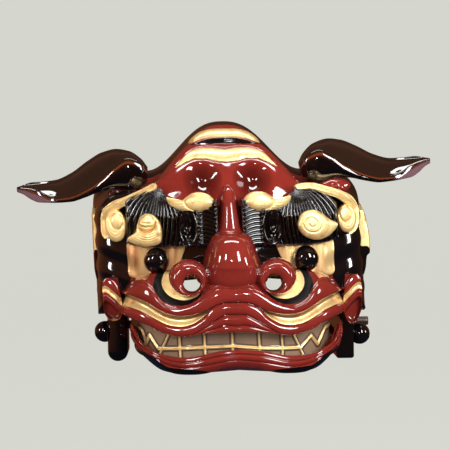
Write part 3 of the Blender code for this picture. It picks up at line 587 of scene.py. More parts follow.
def muzzle_shape(u, v):
    """The muzzle from under the lip up to the roof, each band rolled or hollowed between its lines."""
    x, y = lip_plan(u, MUZZLE)
    nx, ny = lip_normal(u, MUZZLE)
    row = v * MUZZLE_ROWS
    at = np.abs(x)
    for _ in range(3):
        z, out, number, share, gap = banded(MUZZLE_BANDS, row, np.clip(at, 0, MUZZLE["half_width"]))
        at = np.abs(x + nx * out)
    channel = np.where(number == CHANNEL_BAND, np.minimum(share, 1 - share) * gap, NOWHERE)
    channel = np.minimum(channel, (at - CHANNEL_START) * 0.5)
    channel = np.where((number == CHANNEL_BAND + 1) & (share > 0), -share * gap, channel)
    above = z > through(RIDGE_TOP)(np.clip(at, 0, MUZZLE["half_width"])) - 2
    gold, black = (
        np.where(above, np.minimum(inside_ellipse(form, at, z), CRESCENT_TOP_Z - z), NOWHERE)
        for form in (GOLD_CRESCENT, BLACK_CRESCENT)
    )
    out = out - CRESCENT_STEP * eased(black, 0, 5) + CRESCENT_STEP * eased(gold, 0, 3)
    points = as_points(x + nx * out, y + ny * out, z)
    # Painted shade: a dark strip along the top of the gilded channel, under the roll that overhangs it.
    with_shade_and_outline = (number == CHANNEL_BAND) & (channel > -1)
    shade_and_outline = np.where(with_shade_and_outline, CHANNEL_PAINTED_SHADE * (1 - eased((1 - share) * gap, 2.2, 5.0)), 0.0)
    return points, {"blacking": black, "gilding": np.maximum(gold, channel), "shade_and_outline": shade_and_outline}


def drill_nostrils(mesh, clear=1.5):
    """Opens a sheet where the nostrils go through, a little wider than they are."""
    gone = []
    for face in mesh.faces:
        middle = face.calc_center_median() * 1000
        away = math.hypot(abs(middle.x) - NOSTRIL["x"], middle.z - NOSTRIL["z"])
        if middle.y < NOSTRIL["sheet_y"] and away < NOSTRIL["radius"] + clear:
            gone.append(face)
    bmesh.ops.delete(mesh, geom=gone, context="FACES")


muzzle_mesh = carved_grid(296, MUZZLE_ROWS, muzzle_shape, (0, -30, 70))
drill_nostrils(muzzle_mesh)
# The lip's gold is painted darker along the top of its channel, as shade.
lip_finish = urushi(
    "red_urushi_with_matt_black_and_leaf", RED_URUSHI, "blacking", "gilding", black_gloss=0.4, with_shade_and_outline=True
)
muzzle = make_piece("muzzle", muzzle_mesh, (lip_finish, brown_urushi), "head", ["snout"])
thicken(muzzle, MUZZLE["wall"], lambda x, z: z - through(LIP_BOTTOM)(np.clip(x, 0, MUZZLE["half_width"])))


# Nose. Bridge, bulb and the two flaring wings are one carving with rounded hollows between them; each
# nostril is bored right through, so that the bearer can look out.

NOSE_SECTIONS = (
    # height, half width, front
    (200, 2.5, -92), (195, 5, -99), (190, 7.5, -103), (184, 9.5, -106.5), (172, 11.5, -110.5),
    (160, 13.5, -113), (153, 15.5, -114.5), (149.5, 17.5, -116.5), (147.5, 20, -127), (145, 22.5, -135),
    (139, 25, -143), (130, 27.5, -148.5), (120, 30, -151), (113.5, 31.5, -151.1), (110.5, 32.5, -149),
    (105, 37, -146), (99, 38, -143.5), (94, 34, -140), (89, 24, -134),
)
NOSE_BACK_Y = -82.0
WING = {"x": 46.0, "z": 103.0, "half_width": 20.5, "half_height": 19.5, "front_y": -146.0, "back_y": -112.0}
WING_FLARE = 9.0
WING_ROUNDING = 5.7
WING_FOOT = 12.0
NOSE_VOXEL = 1.1


def nose_block(u, v):
    """Bridge and bulb, closed at the back."""
    height, half, front = by_row(NOSE_SECTIONS)
    number = v * (len(NOSE_SECTIONS) - 1)
    close = eased(v, 0, 0.02) * eased(1 - v, 0, 0.02)
    turn = 2 * math.pi * u
    x = half(number) * np.sign(np.cos(turn)) * np.abs(np.cos(turn)) ** 0.85
    rounding = np.abs(np.sin(turn))
    deep = np.where(np.sin(turn) > 0, (NOSE_BACK_Y - front(number)) * rounding ** 0.8, -8 * rounding)
    return as_points(x * close, NOSE_BACK_Y - deep * close, height(number)), {}


def wing_ring(side):
    """A wing, a full lobe with a clean bore: v runs up the bore, over the front to the rim and round behind.
    It stands upright, so it undoes the block's lean."""

    def shape(u, v):
        turn = 2 * math.pi * u
        ray_x, ray_z = np.cos(turn), np.sin(turn)
        dx, dz = NOSTRIL["x"] - WING["x"], NOSTRIL["z"] - WING["z"]
        # How far each ray from the nostril's middle runs before it meets the wing's oval outline.
        a = (ray_x / WING["half_width"]) ** 2 + (ray_z / WING["half_height"]) ** 2
        b = dx * ray_x / WING["half_width"] ** 2 + dz * ray_z / WING["half_height"] ** 2
        c = (dx / WING["half_width"]) ** 2 + (dz / WING["half_height"]) ** 2 - 1
        rim = (-b + np.sqrt(b * b - a * c)) / a
        bore = np.clip(v / 0.2, 0, 1)
        front = np.clip((v - 0.2) / 0.5, 0, 1)
        behind = np.clip((v - 0.7) / 0.3, 0, 1)
        radius = NOSTRIL["radius"] + (rim - NOSTRIL["radius"]) * (front - behind)
        high, low = WING["front_y"], WING["back_y"]
        foot = low - WING_FOOT
        swelling = high + WING_FLARE * (1 - np.sin(math.pi * np.clip(front * 0.62 + 0.12, 0, 1)))
        y = low + (high + WING_ROUNDING - low) * bore
        y = np.where(front > 0, swelling + (foot - swelling) * (1 - np.sqrt(1 - front ** 3.2)), y)
        y = np.where(behind > 0, foot + WING_FOOT * behind, y)
        z = NOSTRIL["z"] + radius * ray_z
        upright = -LEAN * (z - LEAN_HEIGHT)
        return as_points((NOSTRIL["x"] + radius * ray_x) * side + upright, y, z), {}

    return shape


def join(mesh, other):
    """Puts the faces of one bmesh into another and lets the first go."""
    spare = bpy.data.meshes.new("spare")
    other.to_mesh(spare)
    other.free()
    mesh.from_mesh(spare)
    bpy.data.meshes.remove(spare)


nose_mesh = carved_grid(96, 120, nose_block, (0, -110, 130))
for side in (-1, 1):
    ring = carved_grid(96, 80, wing_ring(side), (50 * side, -128, 100))
    bmesh.ops.recalc_face_normals(ring, faces=ring.faces)
    join(nose_mesh, ring)
nose = make_piece("carved_nose", nose_mesh, (red_urushi,), "head", ["nose"])
blend = nose.modifiers.new("one_carving", "REMESH")
blend.mode = "VOXEL"
blend.voxel_size = NOSE_VOXEL * 0.001
blend.use_smooth_shade = True
soften = nose.modifiers.new("soften", "SMOOTH")
soften.factor = 0.5
soften.iterations = 6


# Teeth. Two bands set inside the lips, each tooth cut flat and outlined with a raised gilt edge; the faces
# are toned darker than the edges, and a zigzag of fangs closes each corner.

# Where the teeth meet, and how much each line leans over 8 mm of height.
TOOTH_EDGES = ((-72.5, 4.0), (-59, 0.0), (-33, 0.0), (-4, 0.0), (24, 0.0), (48, 0.0), (62, -3.5))
BITE = (
    (-108, 47), (-99, 45), (-95, 31.5), (-91, 41), (-82, 27), (-62, 28.2), (-35, 29.6), (-4, 30.8), (24, 28),
    (48, 27.2), (68, 27), (80, 39), (87, 28.5), (97, 45), (108, 47),
)
BITE_GAP = {"upper": 0.6, "lower": -0.4}
TEETH = {"half_width": 104.0, "rear_y": -40.0, "length": 83.0, "roundness": 0.8, "wall": 7.0}
GUMS = {"upper": 56.0, "lower": 12.0}
TOOTH_EDGE_RISE = 1.2
TOOTH_EDGE_WIDTH = 1.3
TOOTH_FACE = "#8A705A"


def bite_height(x):
    """Height of the line where the two rows meet, in straight runs."""
    return np.interp(x, *zip(*BITE))


def teeth_shape(row):
    """A band of teeth from its gum to the bite, with a raised line along every edge."""

    def shape(u, v):
        x, y = lip_plan(u, TEETH)
        nx, ny = lip_normal(u, TEETH)
        bite = bite_height(x) + BITE_GAP[row]
        if row == "upper":
            gum = GUMS[row] + 2 * eased(np.abs(x), 70, 100)
        else:
            gum = np.minimum(GUMS[row] + 14 * eased(np.abs(x), 76, 100), bite - 3)
        z = gum + (bite - gum) * v ** 0.8
        edge = np.abs(bite - z)
        for place, slant in TOOTH_EDGES:
            edge = np.minimum(edge, np.abs(x - place - slant * (z - 38) / 8))
        for (x0, z0), (x1, z1) in zip(BITE, BITE[1:]):
            run, rise = x1 - x0, z1 - z0
            if abs(rise) > 6:
                along = np.clip((run * (x - x0) + rise * (z - z0)) / (run * run + rise * rise), 0, 1)
                edge = np.minimum(edge, np.hypot(x - x0 - along * run, z - z0 - along * rise))
        out = TOOTH_EDGE_RISE * swell(edge, 0, TOOTH_EDGE_WIDTH) - 0.5
        gilding = 1.15 + 0.35 * eased(np.abs(x), 72, 84) - edge
        marks = {"gilding": gilding, "shade_and_outline": swell(gilding, -1, 0.8)}
        return as_points(x + nx * out, y + ny * out, z), marks

    return shape


tooth_gilt = urushi("toned_teeth_with_gilt_edges", TOOTH_FACE, None, "gilding", gloss=0.35, with_shade_and_outline=True)
for row, body in (("upper", "head"), ("lower", "jaw")):
    teeth = carved_grid(400, 32, teeth_shape(row), (0, -40, 35))
    finishes = (tooth_gilt, tooth_gilt)
    band = make_piece(f"{row}_tooth_row", teeth, finishes, body, [f"{row}_teeth"])
    thicken(band, TEETH["wall"])


# Lower jaw. A tray hollowed from one block, with a double-rolled lip, two swelling chin lobes that it stands
# on, and arms that run back to the rod; red above and black below.

JAW = {"half_width": 113.0, "rear_y": -40.0, "length": 95.0, "roundness": 0.8, "shift": 3.0, "wall": 6.5}
JAW_FLOOR_ROWS = 12
JAW_ARM = {"share": 0.17, "end_y": 90.0, "floor_end_y": 58.0}
JAW_REACH = 116.0
JAW_LIP = (
    (0, 28), (20, 26.5), (35, 23.5), (48, 20.8), (56, 20), (66, 20.2), (77, 21.5), (84, 23.3), (91, 26.3),
    (97, 29.5), (102, 33.5), (107, 43), (112, 52), (116, 55),
)
JAW_GROOVE = (
    (0, 24), (20, 22), (35, 18.8), (48, 15.8), (56, 15), (66, 15.5), (77, 17.5), (84, 19.5), (92, 23),
    (100, 27.5), (107, 33), (116, 42),
)
JAW_RIDGE_FOOT = (
    (0, 17.5), (20, 15), (35, 12), (48, 9.5), (56, 9), (66, 10), (77, 12.5), (84, 15.5), (92, 19),
    (100, 22.5), (107, 26), (116, 32),
)
CHIN_EDGE = (
    (0, 8.5), (16, 7.5), (29, 4.2), (38, 2.2), (48, 1.2), (58, 1), (66, 1.4), (76, 4), (84, 9), (92, 14),
    (101, 17), (116, 18),
)
JAW_FLAT = ((0, 0), (116, 0))
JAW_BANDS = (
    # lower line, how far it stands out, roll above it, rows of the grid
    (JAW_FLAT, ((0, -62), (30, -44), (56, -26), (82, -30), (116, -34)), 1.5, 14),
    (CHIN_EDGE, ((0, -14), (56, -10), (82, -9), (116, -8)), 3.5, 14),
    (JAW_RIDGE_FOOT, ((0, -2.5), (56, -2.5), (116, -3)), 3.2, 12),
    (JAW_GROOVE, ((0, -1), (90, -1), (116, 0.5)), 2.2, 10),
    (JAW_LIP, ((0, -2), (90, -2), (116, 0)), 0.0, 7),
    (JAW_LIP, ((0, -8), (90, -8), (101, -15), (116, -17)), 0.0, 0),
)
JAW_ROWS = JAW_FLOOR_ROWS + sum(band[3] for band in JAW_BANDS)
LOBE_BLACK = (
    (0, -4), (24, -4), (28, 3), (40, 6.5), (58, 8), (74, 9), (84, 14), (92, 20), (104, 24), (116, 26),
)


def inset(share, border):
    """A share of the way across a board, reckoned between its two borders."""
    return np.clip((share - border) / (1 - 2 * border), 0, 1)


def jaw_plan(u):
    """Plan curve of the jaw and its normal; u runs from one arm's end round the chin to the other's."""
    share = JAW_ARM["share"]
    x, y = lip_plan(inset(u, share), JAW)
    nx, ny = lip_normal(inset(u, share), JAW)
    past = np.clip(np.maximum(share - u, u - 1 + share) / share, 0, 1)
    arm = (u < share) | (u > 1 - share)
    y = y + past * (JAW_ARM["end_y"] - JAW["rear_y"])
    return x, y, np.where(arm, np.sign(0.5 - u), nx), np.where(arm, 0.0, ny)


def jaw_shape(u, v):
    """Underside, chin, lip and the lip's inner edge."""
    x, y, nx, ny = jaw_plan(u)
    row = v * JAW_ROWS
    at = np.abs(x)
    for _ in range(3):
        z, out, _, _, _ = banded(JAW_BANDS, row, np.clip(at, 0, JAW_REACH), JAW_FLOOR_ROWS)
        at = np.abs(x + nx * out)
    px, py = x + nx * out, y + ny * out
    # The floor's rows draw in to the middle line, or under the arms to a narrow strip.
    inwards = np.clip(1 - row / JAW_FLOOR_ROWS, 0, 1)
    arm = eased(y, JAW_ARM["floor_end_y"] - 2, JAW_ARM["floor_end_y"] + 2)
    px = px * (1 - inwards * (1 - arm) - inwards * arm * 0.1)
    py = np.where(inwards > 0, np.maximum(py, py + (np.clip(py, -60, 200) - py) * inwards), py)
    black = through(LOBE_BLACK)(np.clip(at, 0, JAW_REACH)) - z
    return as_points(px + JAW["shift"], py, z), {"blacking": black, "gilding": np.full_like(u, NOWHERE)}


jaw_mesh = carved_grid(310, JAW_ROWS, jaw_shape, (0, -20, 40))
jaw_piece = make_piece("lower_jaw", jaw_mesh, (red_and_gold, red_urushi), "jaw", ["jaw"])
thicken(jaw_piece, JAW["wall"], lambda x, z: np.abs(through(JAW_LIP)(np.clip(x, 0, JAW_REACH)) - z))


# Brows. One carving of black lacquered hair over each eye: long strands fan out from the root beside the
# forehead, an oval coil stands near the nose, and short rungs of hair fill the strip between the coil and
# the nose.

SIDES = ((-1, "left"), (1, "right"))
BROW_FACE = (-118.0, 0.29)
BROW_LOW = ((12, 135), (26, 134.5), (44, 134), (60, 134), (78, 134), (92, 134.5), (104, 136.5), (116, 141))
BROW_HIGH = (
    (12, 184), (24, 182), (48, 179), (58, 180), (66, 189), (72, 196), (84, 195), (98, 190), (108, 185),
    (116, 178),
)
BROW_START = 12.5
BROW_ENDS = {"left": 110.0, "right": 115.5}
BROW_BORDER = 0.035
BROW_ROUNDING = 2.2
SINK = 1.5
HAIR_ROOT = (72.0, 200.0)
STRANDS_PER_RADIAN = 7.5
STRAND_HEIGHT = 3.0
BROW_SWELL = {"foot_z": 134.0, "rise": 58.0, "height": 5.5}
BROW_COIL = {"x": 44.0, "z": 154.0, "half_width": 9.5, "half_height": 19.0}
COIL_HEIGHT = 3.6
RUNG_SPACING = 4.4
RUNG_HEIGHT = 1.9
RUNGS_END = 33.0
HAIR_URUSHI = "#0F0A08"
PAINTED_BLUE_REFLECTION = "#0A1424"
FEELER_Y = -200.0
OPEN_Y = -50.0


def hood_depth(x, z):
    """Depth of the hood's face behind each point, felt from the front; OPEN_Y where the hood isn't met."""
    depths = []
    for start in leaned(as_points(x, FEELER_Y, z)):
        hit = hood_tree.ray_cast(Vector(start), Vector((0, 1, 0)))[0]
        depths.append(hit.y * 1000 if hit is not None and hit.y < 0 else OPEN_Y)
    return np.array(depths)


def falling_face(form, x):
    """Depth of a relief's front, which falls back outwards."""
    return form[0] + form[1] * np.abs(x)


def set_back(x, y, z, depth):
    """Depths of a relief whose border runs back into the hood, depth being each point's share of the way."""
    back = y.copy()
    border = depth > 0
    back[border] = hood_depth(x[border], z[border]) + SINK
    return y + np.maximum(back - y, 0) * depth


def lock_wave(number):
    """Height over a row of locks, each round on one side and hollowed on the other."""
    turn = 2 * math.pi * number
    return 0.5 - 0.5 * np.cos(turn + 0.7 * np.sin(turn))


def brow_relief(x, z):
    """Height of the hair over the brow's face."""
    reach, turn = elliptic(BROW_COIL, x, z)
    dx, dz = x - HAIR_ROOT[0], HAIR_ROOT[1] - z
    angle, far = np.arctan2(dx, dz), np.hypot(dx, dz)
    sweep = angle + 0.32 * np.tanh((angle - 0.15) / 0.25) * (far / 55) ** 2
    height = STRAND_HEIGHT * lock_wave(STRANDS_PER_RADIAN * sweep) * np.clip(far / 22, 0.15, 1)
    rise = np.clip((z - BROW_SWELL["foot_z"]) / BROW_SWELL["rise"], 0, 1)
    height = height + BROW_SWELL["height"] * np.sin(math.pi * rise) ** 2
    rungs = lock_wave((z - 0.3 * x + 0.02 * (x - 22) ** 2) / RUNG_SPACING)
    rungs = 1.0 + RUNG_HEIGHT * rungs * eased(x, 13, 16)
    beside = eased(x, RUNGS_END + 2, RUNGS_END - 2)
    height = height * (1 - beside) + rungs * beside
    coil = COIL_HEIGHT * (swell(reach, 0.95, 0.2) + swell(reach - 0.16 * np.sin(turn + 0.8), 0.38, 0.17))
    coil = coil - 4.5 * eased(reach, 0.85, 0.4)
    near = eased(reach, 1.3, 1.1)
    return height * (1 - near) + (2.0 + coil) * near


def in_border(u, v, border):
    """How far a point lies into the border of a board, 0 on its face and 1 at its edge."""
    rim = np.maximum(np.abs(u - 0.5), np.abs(v - 0.5)) - (0.5 - border)
    return np.clip(rim / border, 0, 1)


def brow_shape(side, word):
    """A board between the brow's two edge lines, carved with hair, rounded over and let into the hood."""
    end = BROW_ENDS[word]

    def shape(u, v):
        x = BROW_START + (end - BROW_START) * inset(u, BROW_BORDER)
        bottom, top = through(BROW_LOW)(x), through(BROW_HIGH)(x)
        z = bottom + (top - bottom) * inset(v, BROW_BORDER)
        depth = in_border(u, v, BROW_BORDER)
        edge = np.minimum(np.minimum(z - bottom, top - z), np.minimum(x - BROW_START, end - x))
        shoulder = np.clip(1 - edge / BROW_ROUNDING, 0, 1)
        y = falling_face(BROW_FACE, x) - brow_relief(x, z) * (1 - shoulder ** 2)
        y = y + BROW_ROUNDING * (1 - np.sqrt(1 - shoulder ** 2))
        # Painted reflection: a strip 2.5 mm high along the brow's lower edge is blue-black, for the dark
        # bluish room below that it mirrors.
        blue_reflection_strip = np.where(depth > 0, -1.0, through(BROW_LOW)(x) + 2.5 - z)
        return as_points(side * x, set_back(side * x, y, z, depth), z), {"blacking": blue_reflection_strip}

    return shape


# The hair's lower edge is painted blue-black, a painted reflection of the room below.
hair_urushi = urushi("black_hair_urushi", HAIR_URUSHI, "blacking", None, PAINTED_BLUE_REFLECTION, 0.06)
for side, word in SIDES:
    brow = carved_grid(250, 150, brow_shape(side, word), (side * 60, -60, 160))
    make_piece(f"brow_hair_{word}", brow, (hair_urushi,), "head", [f"brow_{word}"])


# Gilded curls. The end of each brow rolls up into a curl covered with leaf: on the left a ball over a fan,
# on the right a comma, both engraved with fine arcs before gilding.

CURL_FACE = (-123.5, 0.2)
LEFT_CURL = {
    "outline": (
        (-72, 146), (-73, 158), (-78, 166), (-86, 169.5), (-94, 166), (-97.5, 158), (-100, 150),
        (-109, 142.5), (-101, 137.5), (-87, 135), (-75, 138),
    ),
    "middle": (-88.0, 154.0),
    "ball": (-87.5, 160.5),
}
RIGHT_CURL = {
    "outline": (
        (71, 156), (74, 165), (81, 170), (90, 171), (98, 167), (105, 161), (114, 155.5), (107, 146),
        (98, 141), (89, 139.5), (79, 143), (73, 149),
    ),
    "middle": (88.0, 156.0),
    "ball": (86.0, 157.0),
}
ARC_SPACING = 2.5
ARC_DEPTH = 0.1


def gold_leaf(name):
    """Leaf over carved wood, a metal with a soft sheen and wrinkles of about 1 mm."""
    finish, tree, shader, place = new_finish(name)
    shader.inputs["Metallic"].default_value = LEAF_METAL
    shader.inputs["Roughness"].default_value = LEAF_ROUGHNESS
    tree.links.new(leaf_tone(tree, place), shader.inputs["Base Color"])
    tree.links.new(bumped(tree, noise(tree, place, 700.0, 2.0), 0.25, 0.0004), shader.inputs["Normal"])
    return finish


def rounded(before, start, end, after, t):
    """A point between start and end on the smooth line through all four."""
    return 0.5 * (
        2 * start + (end - before) * t + (2 * before - 5 * start + 4 * end - after) * t * t
        + (3 * start - before - 3 * end + after) * t ** 3
    )


def closed_curve(points):
    """A smooth closed line through points, read from 0 to 1 round it."""
    knots = np.array(points, float)
    steps = np.hypot(*(np.roll(knots, -1, axis=0) - knots).T)
    marks = np.concatenate(([0], np.cumsum(steps))) / steps.sum()

    def read(u):
        at = np.mod(u, 1.0)
        i = np.clip(np.searchsorted(marks, at, side="right") - 1, 0, len(knots) - 1)
        t = ((at - marks[i]) / (marks[i + 1] - marks[i]))[:, None]
        return rounded(*(knots[(i + k) % len(knots)] for k in (-1, 0, 1, 2)), t)

    return read


def tile_shape(outline, middle, face, relief, marks=None, rim=0.8, dome=4.0):
    """A carved disc of any outline: v runs from its middle to the edge and then back into the hood."""
    edge_line = closed_curve(outline)

    def shape(u, v):
        edge = edge_line(u)
        spread = np.clip(v / rim, 0, 1)
        x = middle[0] + (edge[:, 0] - middle[0]) * spread
        z = middle[1] + (edge[:, 1] - middle[1]) * spread
        y = face(x, z) + dome * (1 - np.sqrt(1 - 0.96 * spread ** 5)) - relief(x, z) * (1 - spread ** 14)
        depth = np.clip((v - rim) / (1 - rim), 0, 1)
        return as_points(x, set_back(x, y, z, depth), z), marks(x, z, depth) if marks else {}

    return shape


def falling(form):
    """The face of a relief, whose front falls back outwards."""
    return lambda x, z: falling_face(form, x)


def arcs_of(away, spacing):
    """The rise and fall of fine lines engraved a spacing apart."""
    return np.cos(2 * math.pi * away / spacing)


def left_curl_relief(x, z):
    """A ball over a fan of arcs."""
    away = np.hypot(x - LEFT_CURL["ball"][0], z - LEFT_CURL["ball"][1])
    ball = 5.0 * np.sqrt(np.clip(1 - (away / 9.0) ** 2, 0, 1))
    groove = -2.4 * swell(away, 9.6, 1.3) * eased(z, 166, 158)
    arcs = ARC_DEPTH * arcs_of(away, ARC_SPACING) * eased(away, 10, 12)
    inner = 0.8 * arcs_of(z - 0.25 * (x + 87.5) ** 2 / 9, 4.5) * eased(away, 8, 6) * eased(z, 162, 158)
    lip = 1.6 * eased(x, -79, -75) * eased(z, 145, 150)
    return 1.0 + ball + groove + arcs + inner + lip


def right_curl_relief(x, z):
    """A comma that winds once into its middle."""
    dx, dz = x - RIGHT_CURL["ball"][0], (z - RIGHT_CURL["ball"][1]) * 1.08
    away, turn = np.hypot(dx, dz), np.arctan2(dz, dx)
    wind = away - 2.3 * turn / math.pi
    groove = -0.7 * swell(wind, 5.2, 0.9) - 0.6 * swell(wind, 11.5, 1.0) * eased(turn, 0.9, 0.4)
    arcs = 0.4 * ARC_DEPTH * arcs_of(wind, ARC_SPACING)
    return 2.4 * np.sqrt(np.clip(1 - (away / 19) ** 2, 0, 1)) + groove + arcs


engraved_leaf = gold_leaf("engraved_gold_leaf")
for word, curl, relief in (("left", LEFT_CURL, left_curl_relief), ("right", RIGHT_CURL, right_curl_relief)):
    tile = tile_shape(curl["outline"], curl["middle"], falling(CURL_FACE), relief)
    curl_mesh = carved_grid(130, 72, tile, (curl["middle"][0], -60, curl["middle"][1]))
    make_piece(f"inner_curl_{word}", curl_mesh, (engraved_leaf,), "head", [f"brow_curl_{word}"])


# Upper lids. A gilded cloud over each eye: an oval boss with brushed rings, and a tail that sweeps outwards
# under the red hollow of the forehead.

LID_FACE = (-119.0, 0.16)
LID_OUTLINE = (
    (15, 181.5), (20, 187.5), (28, 191), (37, 190.5), (44, 186.5), (50, 182.5), (57, 183), (65, 186.5),
    (63, 179.5), (56, 174), (46, 171), (34, 170), (23, 172.5), (16.5, 177),
)
LID_MIDDLE = (36.0, 180.0)
LID_BOSS = {"x": 31.5, "z": 180.8, "half_width": 14.5, "half_height": 8.8}


def lid_relief(x, z):
    """Rings on the boss and a groove where the tail leaves it."""
    reach, _ = elliptic(LID_BOSS, np.abs(x), z)
    boss = 2.6 * np.sqrt(np.clip(1 - reach ** 2, 0, 1))
    rings = 0.06 * arcs_of(reach, 1 / 4.5) * eased(reach, 1.05, 0.9)
    groove = -0.8 * swell(reach, 1.04, 0.08) * eased(np.abs(x), 34, 40)
    hairs = 0.08 * arcs_of(z - 0.14 * (np.abs(x) - 52) ** 2 / 6, 3.0) * eased(reach, 1.1, 1.2)
    return boss + rings + groove + hairs


for side, word in SIDES:
    outline = [(side * x, z) for x, z in LID_OUTLINE]
    tile = tile_shape(outline, (side * LID_MIDDLE[0], LID_MIDDLE[1]), falling(LID_FACE), lid_relief, dome=5.0)
    lid = carved_grid(128, 60, tile, (side * 36, -70, 180))
    make_piece(f"gilded_lid_{word}", lid, (engraved_leaf,), "head", [f"eyelid_{word}"])


# Brow trim. A gilded ribbon starts narrow over the root of the hair, widens as it runs out to the corner of
# the hood and turns down round an oval curl.

RIBBONS = {
    # x, z, width and depth of the front, for the left and the right side
    -1: (
        (75, 199.0, 7.5, -97), (93, 190.7, 7.0, -91), (108, 183.5, 8.5, -86), (121, 177.5, 11.0, -79.5),
        (130, 171, 10, -74), (134.2, 162, 6, -71), (134, 151, 6.5, -73), (130.5, 143.5, 6, -77),
    ),
    1: (
        (71, 195.3, 5.5, -98), (86, 196, 7.5, -92.5), (104, 191.5, 8.5, -87), (119, 186.5, 9.5, -81),
        (129, 180, 11.5, -75.5), (135, 170, 9.5, -71), (136.5, 160, 7, -71), (133.5, 150.5, 6, -74),
        (127, 145, 5, -78),
    ),
}
RIBBON_PROUD = 1.5
OUTER_CURLS = {
    -1: {"x": 120.8, "z": 156.6, "half_width": 11.8, "half_height": 17.0},
    1: {"x": 125.5, "z": 161.0, "half_width": 10.5, "half_height": 15.0},
}
OUTER_CURL_FACE = (-126.5, 0.34)


def ribbon_shape(side):
    """A flat ribbon with rounded edges that follows its table and is closed behind."""
    last = len(RIBBONS[side]) - 1
    x_at, z_at, width_at, front_at = by_row(RIBBONS[side])

    def shape(u, v):
        number = u * last
        x, z = x_at(number), z_at(number)
        ahead, behind = np.minimum(number + 0.02, last), np.maximum(number - 0.02, 0)
        dx, dz = x_at(ahead) - x_at(behind), z_at(ahead) - z_at(behind)
        length = np.maximum(np.hypot(dx, dz), 1e-6)
        nx, nz = -dz / length, dx / length
        turn = 2 * math.pi * v
        flat = np.sign(np.cos(turn)) * np.abs(np.cos(turn)) ** 0.6
        ends = np.clip(np.minimum(u, 1 - u) / 0.02, 0, 1) ** 0.5
        half = width_at(number) / 2 * ends
        in_front = np.sin(turn) > 0
        y = front_at(number) - RIBBON_PROUD * np.abs(np.sin(turn)) ** 0.6
        strokes = 0.25 * arcs_of(flat * half, 2.2) * in_front
        px, pz = x + nx * flat * half, z + nz * flat * half
        back = hood_depth(side * px, pz) + 1.0
        y = np.where(in_front, y - strokes, np.maximum(back, front_at(number) + 3))
        return as_points(side * px, y, pz), {}

    return shape


def outer_curl_relief(x, z):
    """A small oval swirl above a plain gilt slope."""
    form = OUTER_CURLS[int(np.sign(x.mean()))]
    reach, turn = elliptic(form, np.abs(x), z)
    wind = reach - 0.09 * (turn - 1.2) / math.pi
    oval = {"x": form["x"] - 1.5, "z": form["z"] + 5.2, "half_width": 6.4, "half_height": 8.2}
    inner, _ = elliptic(oval, np.abs(x), z)
    knob = 1.6 * np.sqrt(np.clip(1 - inner ** 2, 0, 1)) - 0.9 * swell(inner, 1.08, 0.13)
    return 1.0 + knob + 0.1 * arcs_of(wind, 1 / 5) * eased(inner, 1.1, 1.3)


for side, word in SIDES:
    trim = carved_grid(150, 36, ribbon_shape(side), (side * 110, -50, 170))
    form = OUTER_CURLS[side]
    outline = []
    for turn in (i * math.pi / 6 for i in range(12)):
        reach = form["x"] + form["half_width"] * math.cos(turn)
        outline.append((side * reach, form["z"] + form["half_height"] * math.sin(turn)))
    tile = tile_shape(
        outline, (side * form["x"], form["z"]), falling(OUTER_CURL_FACE), outer_curl_relief, dome=3.5
    )
    outer = carved_grid(100, 50, tile, (side * 125, -50, 160))
    bmesh.ops.recalc_face_normals(trim, faces=trim.faces)
    join(trim, outer)
    make_piece(f"gilded_trim_{word}", trim, (engraved_leaf,), "head", [f"brow_trim_{word}"])


# Eyes. Each is a gilded plate let into the black hollow under the brow, brushed downwards, with a black ball
# turned from hard wood and polished over as the pupil.

EYE_LINE = (
    (48, 133), (47, 139), (60, 141), (90, 141), (109, 140), (110, 118), (108, 102), (86, 101), (66, 102),
    (58, 109), (52.5, 121),
)
EYE_MIDDLE = (80.0, 119.0)
EYE_PROUD = 5.0
EYE_GOLD = "#FBD694"
EYE_GOLD_RUBBED = "#A5673C"
PUPIL = {"x": 79.0, "y": -90.5, "z": 119.5, "radius": 13.8, "stem": 11.0}


def stretched(tree, place, scale):
    """A place whose X, Y and Z are scaled apart, so that a pattern on it is drawn out."""
    return add(tree, "ShaderNodeMapping", {"Scale": scale}, {"Vector": place}).outputs["Vector"]


def eye_gold():
    """Gold leaf brushed downwards in strokes a few millimetres wide, browner where it is rubbed."""
    finish, tree, shader, place = new_finish("brushed_eye_gold")
    drawn = stretched(tree, place, (95.0, 95.0, 14.0))
    stroke = noise(tree, drawn, 1.0, 2.0)
    rubbed = ramp(tree, stroke, 0.4, 0.72)
    shader.inputs["Metallic"].default_value = LEAF_METAL
    tree.links.new(mixed(tree, rubbed, EYE_GOLD, EYE_GOLD_RUBBED), shader.inputs["Base Color"])
    tree.links.new(ramp(tree, rubbed, 0.0, 1.0, 0.28, 0.5), shader.inputs["Roughness"])
    tree.links.new(bumped(tree, stroke, 0.15, 0.0006), shader.inputs["Normal"])
    return finish


def turned(profile, rounds, along):
    """A piece turned on a lathe: a profile of (radius, distance), spun about the x or the y axis."""
    mesh = bmesh.new()
    reach, run = by_row(profile)
    bmesh.ops.create_grid(mesh, x_segments=rounds, y_segments=6 * len(profile), size=0.5)
    flat = np.array([vertex.co[:2] for vertex in mesh.verts]) + 0.5
    number = flat[:, 1] * (len(profile) - 1)
    turn = 2 * math.pi * flat[:, 0]
    a, b, c = reach(number) * np.cos(turn), reach(number) * np.sin(turn), run(number)
    order = {"x": (c, a, b), "y": (a, c, b)}[along]
    for vertex, place in zip(mesh.verts, as_points(*order) * 0.001):
        vertex.co = place
    bmesh.ops.remove_doubles(mesh, verts=mesh.verts, dist=2e-6)
    bmesh.ops.recalc_face_normals(mesh, faces=mesh.faces)
    return mesh


def pupil_profile(radius, stem):
    """Half a ball on a short stem, as (radius, distance) from its tip back."""
    ball = [(0.0, 1.0), (0.38, 0.925), (0.71, 0.71), (0.925, 0.38), (1.0, 0.0)]
    return [(radius * out, -radius * ahead) for out, ahead in ball] + [
        (radius, stem - 1), (radius * 0.9, stem), (0, stem)
    ]


